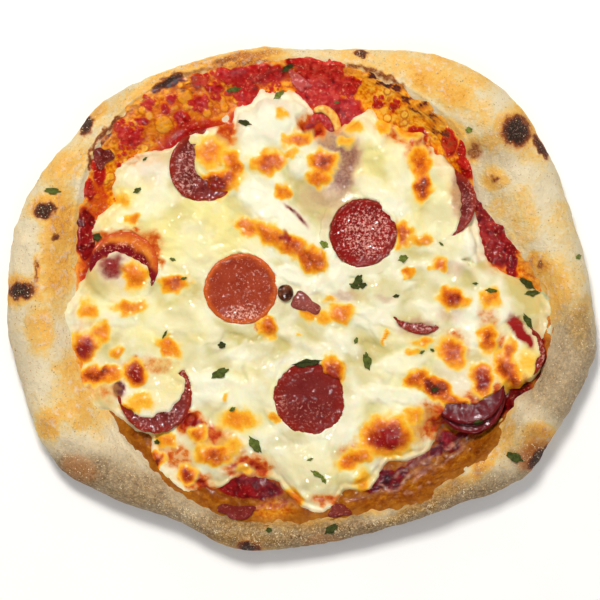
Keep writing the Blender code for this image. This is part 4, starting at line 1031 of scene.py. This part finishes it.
azimuth = full_turn(CHEESE_AROUND)
limit = round_the_clock(CHEESE_EDGE, azimuth)
for middle, half_width, depth in EDGE_TONGUES:
    limit = limit + max(depth, 0.0) * bell(azimuth, middle, half_width)
shares = np.concatenate([
    np.linspace(0.0, 0.93, 102), np.linspace(0.93, 1.03, 14)[1:], UNDER_CHEESE])
radii = limit * shares[:, None]
x, y = radii * np.cos(azimuth), radii * np.sin(azimuth)
z, toast = cheese_top(x, y)
z[-len(UNDER_CHEESE):] = (dough_top(x, y) - 0.8)[-len(UNDER_CHEESE):]
lobes, crease, streams = cheese_lobes(x, y)
ragged = uneven(x, y, 1.3, 4.0, 81)
cheese_marks = {
    "toast": toast,
    "stain": soft_spots(*ragged, [*STAIN_SPOTS, *strokes(STAIN_LINES)], 0.55),
    "yellow": soft_spots(*ragged, YELLOW_SPOTS, 0.6),
    "grey": soft_spots(*ragged, GREY_SPOTS, 0.6),
    # The veil mark carries both the salami seen through the cheese and the painted shade of the
    # crevice.
    "veil": np.maximum(soft_spots(*ragged, VEILED_SPOTS, 0.45), soft_spots(
        *uneven(x, y, 0.25, 2.0, 92), strokes(CREVICE_SHADE_LINES), 0.7)),
    "core": soft_spots(*ragged, RED_CORES, 0.5),
    "thin": smooth_step(0.5 * rough_noise(x, y, 3.0, 89, 2) - cheese_thickness(x, y), -3.0, -0.6),
    # Painted shade: crease also darkens the colour along the creases between the lobes.
    "crease": crease,
    # Painted shade: low is more where the lobes lie low, and darkens the colour in their hollows.
    "low": 0.55 - 0.8 * lobes,
    "stream": streams,
}

# Melted mozzarella: soft white to butter yellow, a little translucent, with an oily gloss.
# Its blisters bake from gold through orange to red-brown.
melted_mozzarella, add, cheese = new_material(
    "melted_mozzarella", cheese_marks, slow=(9.0, 4.0, 0.6), patch=(2.8, 3.0, 0.55),
    fine=(1.1, 2.0, 0.5), grain=(0.5, 1.0, 0.5), wet=(2.0, 1.0, 0.4), specks=(1.0, 1.0, 0.5))
butter = broken_up(add, cheese.yellow, cheese.slow, -0.7, 0.7, "ADD")
shade = broken_up(add, cheese.grey, cheese.slow, -0.55, 0.45, "ADD")
# Painted shade: the low hollows between the lobes are darkened together with the grey-green spots.
shade = add("Math", shade, add("Math", cheese.low, 0.62, operation="MULTIPLY"), operation="ADD")
white = broken_up(add, cheese.stream, cheese.slow, -0.1, 1.1)
veil = broken_up(add, cheese.veil, cheese.fine, 0.8, 1.2)
# Painted shade: the dark end of this colour also draws the crevice.
veil_and_shade_colour = add("ValToRGB", veil, steps=(
    (0.25, "#D4AC96"), (0.55, "#B87E70"), (0.85, "#90504A"), (1.0, "#6C2E2E")))
stain = add("Math", cheese.stain, add("Math", cheese.thin, 0.2, operation="MULTIPLY"),
            operation="MAXIMUM")
patchy_stain = broken_up(add, stain, cheese.patch, -0.7, 1.0)
stain = add("Math", stain, 0.8, patchy_stain, operation="MULTIPLY_ADD")
stain_colour = add("ValToRGB", stain, steps=(
    (0.2, "#E8B664"), (0.42, "#DC8426"), (0.62, "#C2460E"), (0.85, "#8E0A04")))
browned = cheese.toast
for pattern, low, high in ((cheese.patch, 0.72, 1.28), (cheese.fine, 0.76, 1.24)):
    browned = broken_up(add, browned, pattern, low, high)
toast_colour = add("ValToRGB", browned, steps=(
    (0.08, "#F4DE80"), (0.24, "#F6C036"), (0.42, "#EE9610"), (0.61, "#D96C0A"),
    (0.78, "#AE420A"), (0.96, "#6A1C08")))
core = broken_up(add, cheese.core, cheese.patch, 0.4, 1.5)
# Painted highlights: pale specks on the browned blisters stand in for the glints of their oily
# gloss.
painted_blister_glints = add("Math", add("MapRange", browned, 0.25, 0.7), add(
    "MapRange", cheese.specks, 0.64, 0.74), operation="MULTIPLY")
blistered = broken_up(add, cheese.wet, cheese.toast, 0.2, 1.0)
finish_material(
    melted_mozzarella, "#EEEACB",
    ((add("MapRange", butter, 0.15, 0.85), "#EEE298"),
     (add("MapRange", shade, 0.12, 1.0), "#CDBF7C"),
     # Painted shade along the creases between the lobes.
     (add("Math", cheese.crease, 0.4, operation="MULTIPLY"), "#B0A468"), (white, "#F3F1DC"),
     (veil, veil_and_shade_colour), (add("MapRange", stain, 0.12, 0.5), stain_colour),
     (add("MapRange", browned, 0.03, 0.26), toast_colour), (core, "#960C08"),
     (add("Math", painted_blister_glints, 0.45, operation="MULTIPLY"), "#F8D8A0")),
    relief=((cheese.patch, 0.1), (blistered, 0.7), (cheese.grain, 0.04)),
    wet_relief=((blistered, 1.0),),
    Roughness=add("MapRange", cheese.fine, 0, 1, 0.4, 0.6),
    Coat_Weight=add("MapRange", add("Math", cheese.toast, cheese.core, operation="MAXIMUM"),
                    0, 1, 0.35, 0.65),
    Coat_Roughness=0.09, Specular_IOR_Level=0.15, Subsurface_Weight=0.3,
    Subsurface_Scale=0.0018)

piece = make_piece("melted_cheese_sheet", [(x, y, z, cheese_marks)], melted_mozzarella)
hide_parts("melted_cheese")

# ---------------------------------------------------------------- small pieces
# Torn bits of salami, a black olive and one curled strip of hard yellow cheese that lie
# loose on the sauce or half sunk in the cheese. Each is a draped pebble or a swept strip.
SMALL_PIECES = {
    "salami_piece_centre": (1.6, -1.6, 6, 3.2, 1.4, -28, "cheese"),
    "salami_piece_top": (-0.8, 87.4, 4.8, 2.4, 1.2, -42, "sauce"),
    "salami_piece_left": (-79, 56.6, 4, 3.4, 1.4, 35, "sauce"),
    "salami_piece_bottom_left": (-25.6, -84.6, 7.2, 2.6, 1.6, -6, "sauce"),
    "salami_piece_bottom_right": (15.2, -84.4, 4.2, 2.4, 1.4, 5, "sauce"),
    "olive_piece": (-6.2, 2.6, 3.2, 3.5, 3.6, 0, "cheese"),
}
pink_salami = salami_material("cured_salami_pink", "#C85A4E", "#B03C34", "#E09C8E",
                              "#A8382C", 1.2)
pale_salami = salami_material("cured_salami_pale", "#9A5048", "#80382E", "#C4887E",
                              "#8A3A30", 1.0)
# Black olive: taut, dark and glossy skin.
olive_skin, add, olive = new_material("black_olive_skin", patch=(3.0, 2.0, 0.5))
finish_material(
    olive_skin, add("ValToRGB", olive.patch, steps=(
        (0.35, "#3A1A0C"), (0.55, "#5C2C16"), (0.7, "#7A4424"))),
    relief=((olive.patch, 0.25),), Roughness=add("MapRange", olive.patch, 0, 1, 0.12, 0.35),
    Coat_Weight=0.6, Coat_Roughness=0.08)
SMALL_MATERIALS = {"salami_piece_top": pink_salami, "olive_piece": olive_skin,
                   "salami_piece_centre": pale_salami,
                   "salami_piece_bottom_left": maroon_salami,
                   "salami_piece_bottom_right": maroon_salami}


def sauce_top(x, y):
    """Top of the dough with the sauce on it."""
    return dough_top(x, y) + oil_skin_lift(x, y)[0]


azimuth = full_turn(40)
polar = np.linspace(0.0, pi, 22)[:, None]
for name, (x0, y0, half_length, half_width, thickness, turn, layer) in SMALL_PIECES.items():
    corners = 0.02 if name == "olive_piece" else 0.2
    squareness = 1.0 if name == "olive_piece" else 0.75
    round_x = np.sign(np.cos(azimuth)) * np.abs(np.cos(azimuth)) ** squareness
    round_y = np.sign(np.sin(azimuth)) * np.abs(np.sin(azimuth)) ** squareness
    ragged_rim = 1.0 + corners * (np.sin(3.0 * azimuth + x0) + 0.4 * np.sin(5.0 * azimuth + y0))
    along = half_length * np.sin(polar) ** 0.8 * round_x * ragged_rim
    across = half_width * np.sin(polar) ** 0.8 * round_y * ragged_rim
    x = x0 + along * cos(radians(turn)) - across * sin(radians(turn))
    y = y0 + along * sin(radians(turn)) + across * cos(radians(turn))
    floor = sauce_top(x, y) if layer == "sauce" else cheese_top(x, y)[0] - 0.3 * thickness
    z = floor + 0.5 * thickness * (1.0 + np.cos(polar)) + 0.06 * rough_noise(x, y, 2.0, 91, 2)
    piece = make_piece(name.replace("piece", "scrap"), [(x, y, z, {"casing": 0.0, "flecks": 0.25})],
                       SMALL_MATERIALS.get(name, mauve_salami))
    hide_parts(name)

SHRED_LINE = ((5.0, 75.4), (8.6, 76.8), (12.6, 74.2), (14.6, 69.8), (14.4, 66.6))
SHRED_WIDTH = 3.4
SHRED_THICKNESS = 1.8
# Strip of hard yellow cheese: smooth, waxy and a little see-through.
yellow_cheese, add, strip = new_material("hard_yellow_cheese", patch=(2.4, 4.0, 0.6))
finish_material(
    yellow_cheese, add("ValToRGB", strip.patch, steps=(
        (0.38, "#E2902A"), (0.52, "#F2B640"), (0.66, "#F6D27A"))),
    relief=((strip.patch, 0.6),), Roughness=0.3, Coat_Weight=0.3, Coat_Roughness=0.15,
    Subsurface_Weight=0.2, Subsurface_Scale=0.003)
line = np.array(SHRED_LINE)
steps = np.linspace(0.0, len(line) - 1.0, 42)
centre_x = np.interp(steps, range(len(line)), line[:, 0])
centre_y = np.interp(steps, range(len(line)), line[:, 1])
smoothing = np.ones(9) / 9.0
centre_x[4:-4] = np.convolve(centre_x, smoothing, "valid")
centre_y[4:-4] = np.convolve(centre_y, smoothing, "valid")
heading = np.arctan2(np.gradient(centre_y), np.gradient(centre_x))[:, None]
swell = np.sqrt(np.clip(np.sin(pi * np.linspace(0.0, 1.0, 42)), 0.0, 1.0))[:, None] ** 0.6
azimuth = full_turn(24)
aside = np.cos(azimuth) * 0.5 * SHRED_WIDTH * swell
x = centre_x[:, None] - aside * np.sin(heading)
y = centre_y[:, None] + aside * np.cos(heading)
z = sauce_top(x, y) + 0.9 + 0.5 * SHRED_THICKNESS * swell * np.sin(azimuth)
piece = make_piece("curled_cheese_strip", [(x, y, z, {})], yellow_cheese)
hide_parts("cheese_shred")

# ---------------------------------------------------------------- herbs
# Dried oregano and basil, rubbed over before baking: thin curled flakes 2 to 11 mm long, dark
# olive green. Each is a leaf shape with a folded midrib, wavy, both faces alike.
LEAF_THICKNESS = 0.35
# x, y, half length, half width, turn, and how dark it is.
HERB_FLAKES = (
    (-8.8, 82, 2.6, 1.2, 40, 0.2), (-22.6, 70.6, 2.8, 1.1, -15, 0.9),
    (-32.4, -29.4, 3.7, 1.8, 25, 0.6), (26.4, -24.6, 3.6, 1.7, -80, 0.5),
    (22.8, 7.6, 2.6, 1.6, 60, 0.8), (21.4, 5.4, 2.2, 1.2, -20, 0.7), (24.6, 5.6, 1.8, 1.1, 20, 0.9),
    (9.2, 22, 2, 1.3, -35, 0.1), (40.8, 16.4, 2, 1.5, 20, 0.3), (-18.4, -58, 3.8, 1.9, -55, 0.4),
    (6.6, -69.8, 3, 1, -30, 0.2), (9, -72, 1.8, 0.8, -60, 0.1), (-65.4, 43.6, 1.8, 1, 30, 0.6),
    (76, 3.6, 2.4, 0.9, -5, 0.5), (90.6, 6.4, 3.6, 1.5, -35, 0.8), (92.6, 2.6, 3, 1.2, 5, 0.7),
    (90.6, -8.6, 3.2, 1.3, -60, 0.7), (-31.6, -18.2, 1.6, 1.4, 0, 1),
    (-98.8, 43.2, 3.4, 1.3, -5, 0.5), (84.8, -62.6, 3.6, 1.8, -25, 0.7),
    (12, -91.4, 3, 1.6, 35, 0.9), (-12.8, -91.8, 1.3, 1, 0, 0.8), (-5.4, 92.4, 2.6, 1.2, 30, 0.9),
    (-27, 83.8, 3, 1.1, 10, 0.5), (-81.6, 25, 1.8, 1.6, 0, 0.8), (2.4, -25.4, 5.6, 1.5, 8, 1),
    (70.6, -49, 2.4, 1, 10, 0.7), (66.8, 67.4, 1.4, 1.2, 0, 0.1), (110.6, 17, 1.4, 1, 30, 0.2),
    (-51.2, 16, 1.3, 0.7, -20, 0.4), (-46.8, 8.4, 1.4, 0.6, 15, 0.5), (69.6, 6.4, 1.2, 0.5, 0, 0.5),
    (22, -16.4, 1.4, 0.8, 70, 0.4), (-57.6, -57, 1.2, 1, 0, 0.7), (-27.4, -43.8, 1.4, 0.8, 30, 0.4),
    (3.6, -63.8, 1.4, 0.5, 20, 0.3), (48.4, -21, 1.2, 0.6, 30, 0.5),
    (52.4, -20.2, 1, 0.6, -30, 0.5), (56, 22.2, 1.2, 0.5, -40, 0.4),
    (-62.4, 56.2, 1.2, 0.5, 40, 0.5), (14.4, 79, 1.2, 0.5, 0, 0.4), (-54.4, -14, 2, 0.5, 60, 0.6),
    (53.2, -35.8, 1.6, 0.9, 20, 1), (38, 1.4, 1.4, 0.7, 10, 1),
)


def food_top(x, y):
    """Highest of cheese, slices, sauce and dough at each place."""
    top = np.maximum(np.maximum(cheese_top(x, y)[0], sauce_top(x, y)), dough_top(x, y))
    for spec in SALAMI_SLICES.values():
        middle, share = slice_middle_height(x, y, spec)
        top = np.where(share < 1.0, np.maximum(top, middle + 0.5 * SLICE_THICKNESS), top)
    return top


# Dried herb: dull olive green to nearly black, with paler veins and frayed tips.
dried_herb, add, leaf = new_material("dried_herb_leaf", ("darkness",), patch=(1.2, 4.0, 0.65))
tone = add("Math", leaf.darkness, 0.55, add("MapRange", leaf.patch, 0, 1, -0.2, 0.55),
           operation="MULTIPLY_ADD")
finish_material(
    dried_herb, add("ValToRGB", tone, steps=(
        (0.05, "#9AA444"), (0.3, "#68742E"), (0.55, "#444C1E"), (0.85, "#2E2C14"))),
    relief=((leaf.patch, 0.4),), Roughness=0.6, Specular_IOR_Level=0.12)

leaf_shares = np.concatenate([np.linspace(0.0, 1.0, 9), np.linspace(1.0, 0.0, 6)[1:]])[:, None]
leaf_sides = np.concatenate([np.ones(9), -np.ones(5)])[:, None]
azimuth = full_turn(28)
leaves = []
draw = np.random.default_rng(5)
for x0, y0, half_length, half_width, turn, darkness in HERB_FLAKES:
    phase = draw.uniform(0.0, 2.0 * pi, 3)
    notched = 1.0 + 0.14 * np.sin(5.0 * azimuth + phase[0])
    notched = notched + 0.08 * np.sin(9.0 * azimuth + phase[1])
    along = leaf_shares * half_length * np.cos(azimuth) * notched
    across = leaf_shares * half_width * np.sin(azimuth) * notched
    across = across * (1.0 - 0.45 * (along / half_length) ** 2)
    x = x0 + along * cos(radians(turn)) - across * sin(radians(turn))
    y = y0 + along * sin(radians(turn)) + across * cos(radians(turn))
    fold = 0.35 * np.abs(across) + 0.22 * np.sin(2.2 * along + phase[2])
    flat_rim = 1.0 - leaf_shares ** 4
    z = food_top(x, y) + 0.25 + fold + leaf_sides * 0.5 * LEAF_THICKNESS * flat_rim
    leaves.append((x, y, z, {"darkness": darkness}))
piece = make_piece("herb_flakes", leaves, dried_herb)

# ---------------------------------------------------------------- flour and semolina
# Coarse semolina from the bench sticks to the rim, thickest along its lower side. A grain is
# a squat eight-sided crumb 0.3 to 0.7 mm wide, half sunk in the crust.
GRAIN_COUNT = 5200
draw = np.random.default_rng(17)
azimuth = draw.uniform(0.0, 2.0 * pi, GRAIN_COUNT)
outer, _crest, edge = rim_section(azimuth)[:3]
share = draw.uniform(0.0, 1.0, GRAIN_COUNT)
lower_side = 0.35 + 0.65 * smooth_step(-np.sin(azimuth), -0.3, 0.5)
kept = draw.uniform(0.0, 1.0, GRAIN_COUNT) < lower_side
radius = (edge + 2.5) + (outer - edge - 3.2) * share
x, y = (radius * np.cos(azimuth))[kept], (radius * np.sin(azimuth))[kept]
z = dough_top(x, y)
size = draw.uniform(0.14, 0.34, len(x))
corner = np.array([(1, 0, 0), (0, 1, 0), (-1, 0, 0), (0, -1, 0), (0, 0, 0.8), (0, 0, -0.8)])
faces = np.array([(0, 1, 4), (1, 2, 4), (2, 3, 4), (3, 0, 4), (1, 0, 5), (2, 1, 5), (3, 2, 5),
                  (0, 3, 5)])
spin = draw.uniform(0.0, pi, len(x))[:, None]
wide = corner[None, :, 0] * np.cos(spin) - corner[None, :, 1] * np.sin(spin)
deep = corner[None, :, 0] * np.sin(spin) + corner[None, :, 1] * np.cos(spin)
points = np.stack([x[:, None] + MIDDLE_X + size[:, None] * wide,
                   y[:, None] + MIDDLE_Y + size[:, None] * deep,
                   z[:, None] + 0.05 + size[:, None] * corner[None, :, 2]], axis=-1)
mesh = bpy.data.meshes.new("semolina_grains")
mesh.from_pydata((points.reshape(-1, 3) * MM).tolist(), [],
                 (faces[None] + 6 * np.arange(len(x))[:, None, None]).reshape(-1, 3).tolist())
# Semolina: hard pale yellow grains, toasted here and there.
semolina, add, grains = new_material("toasted_semolina", patch=(4.0, 4.0, 0.6))
finish_material(semolina, add("ValToRGB", grains.patch, steps=(
    (0.35, "#A9814E"), (0.5, "#DDBF8A"), (0.62, "#F0E2BE"))), Roughness=0.55)
mesh.materials.append(semolina)
piece = bpy.data.objects.new("semolina_grains", mesh)
bpy.context.scene.collection.objects.link(piece)
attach(piece, "root")

# ---------------------------------------------------------------- studio
# Pale floor, a soft key light from beyond the top edge, a weak fill from the front, four
# small lights that show in the gloss alone, and a camera straight above.
FLOOR_SIZE = 6.0
floor_mesh = bpy.data.meshes.new("studio_floor")
half = 0.5 * FLOOR_SIZE
floor_mesh.from_pydata([(-half, -half, 0), (half, -half, 0), (half, half, 0), (-half, half, 0)],
                       [], [(0, 1, 2, 3)])
white_paper, add, sheet = new_material("white_paper", patch=(60.0, 4.0, 0.6))
finish_material(white_paper, add("ValToRGB", sheet.patch, steps=(
    (0.4, "#FAFAFA"), (0.6, "#FCFCFC"))), Roughness=0.9, Specular_IOR_Level=0.1)
floor_mesh.materials.append(white_paper)
floor = bpy.data.objects.new("studio_floor", floor_mesh)
bpy.context.scene.collection.objects.link(floor)
floor.location.z = -0.0002


def add_light(name, place, size, power, colour="#FFFFFF", soft=True):
    """Square area light that faces the middle of the pinsa. A soft one lights the food and
    leaves no mirror image in its gloss, and another one shows in the gloss alone."""
    data = bpy.data.lights.new(name, "AREA")
    data.size = size
    data.energy = power
    data.color = linear_colour(colour)[:3]
    lamp = bpy.data.objects.new(name, data)
    bpy.context.scene.collection.objects.link(lamp)
    lamp.location = place
    lamp.visible_diffuse = soft
    lamp.visible_glossy = not soft
    lamp.rotation_euler = (-Vector(place)).to_track_quat("-Z", "Y").to_euler()
    return lamp


add_light("key_light", (-0.16, 0.62, 1.2), 0.3, 15.0, "#FFFAF2")
add_light("fill_light", (0.3, -0.8, 1.2), 1.0, 3.8, "#F8FAFF")
add_light("sparkle_light", (-0.1, 0.68, 1.15), 0.1, 6.0, soft=False)
add_light("side_sparkle_light", (-0.75, 0.45, 1.0), 0.08, 3.5, soft=False)
add_light("front_sparkle_light", (0.35, -0.75, 1.1), 0.08, 5.0, soft=False)
add_light("overhead_sparkle_light", (-0.05, 0.27, 1.3), 0.045, 1.1, soft=False)
world = bpy.data.worlds.new("studio_world")
bpy.context.scene.world = world
world.use_nodes = True
world.node_tree.nodes["Background"].inputs["Color"].default_value = (1.0, 1.0, 1.0, 1.0)
world.node_tree.nodes["Background"].inputs["Strength"].default_value = 0.32
world.cycles_visibility.glossy = False

CAMERA_HEIGHT = 1.4
SEEN_WIDTH = 0.24
SEEN_LEVEL = 0.01
camera_data = bpy.data.cameras.new("camera")
camera_data.sensor_width = 36.0
camera_data.lens = 36.0 * (CAMERA_HEIGHT - SEEN_LEVEL) / SEEN_WIDTH
camera_data.clip_start = 0.05
camera_data.clip_end = 20.0
camera = bpy.data.objects.new("camera", camera_data)
bpy.context.scene.collection.objects.link(camera)
camera.location = ((MIDDLE_X - 0.4) * MM, (MIDDLE_Y - 0.2) * MM, CAMERA_HEIGHT)
bpy.context.scene.camera = camera
bpy.context.scene.view_settings.view_transform = "Standard"
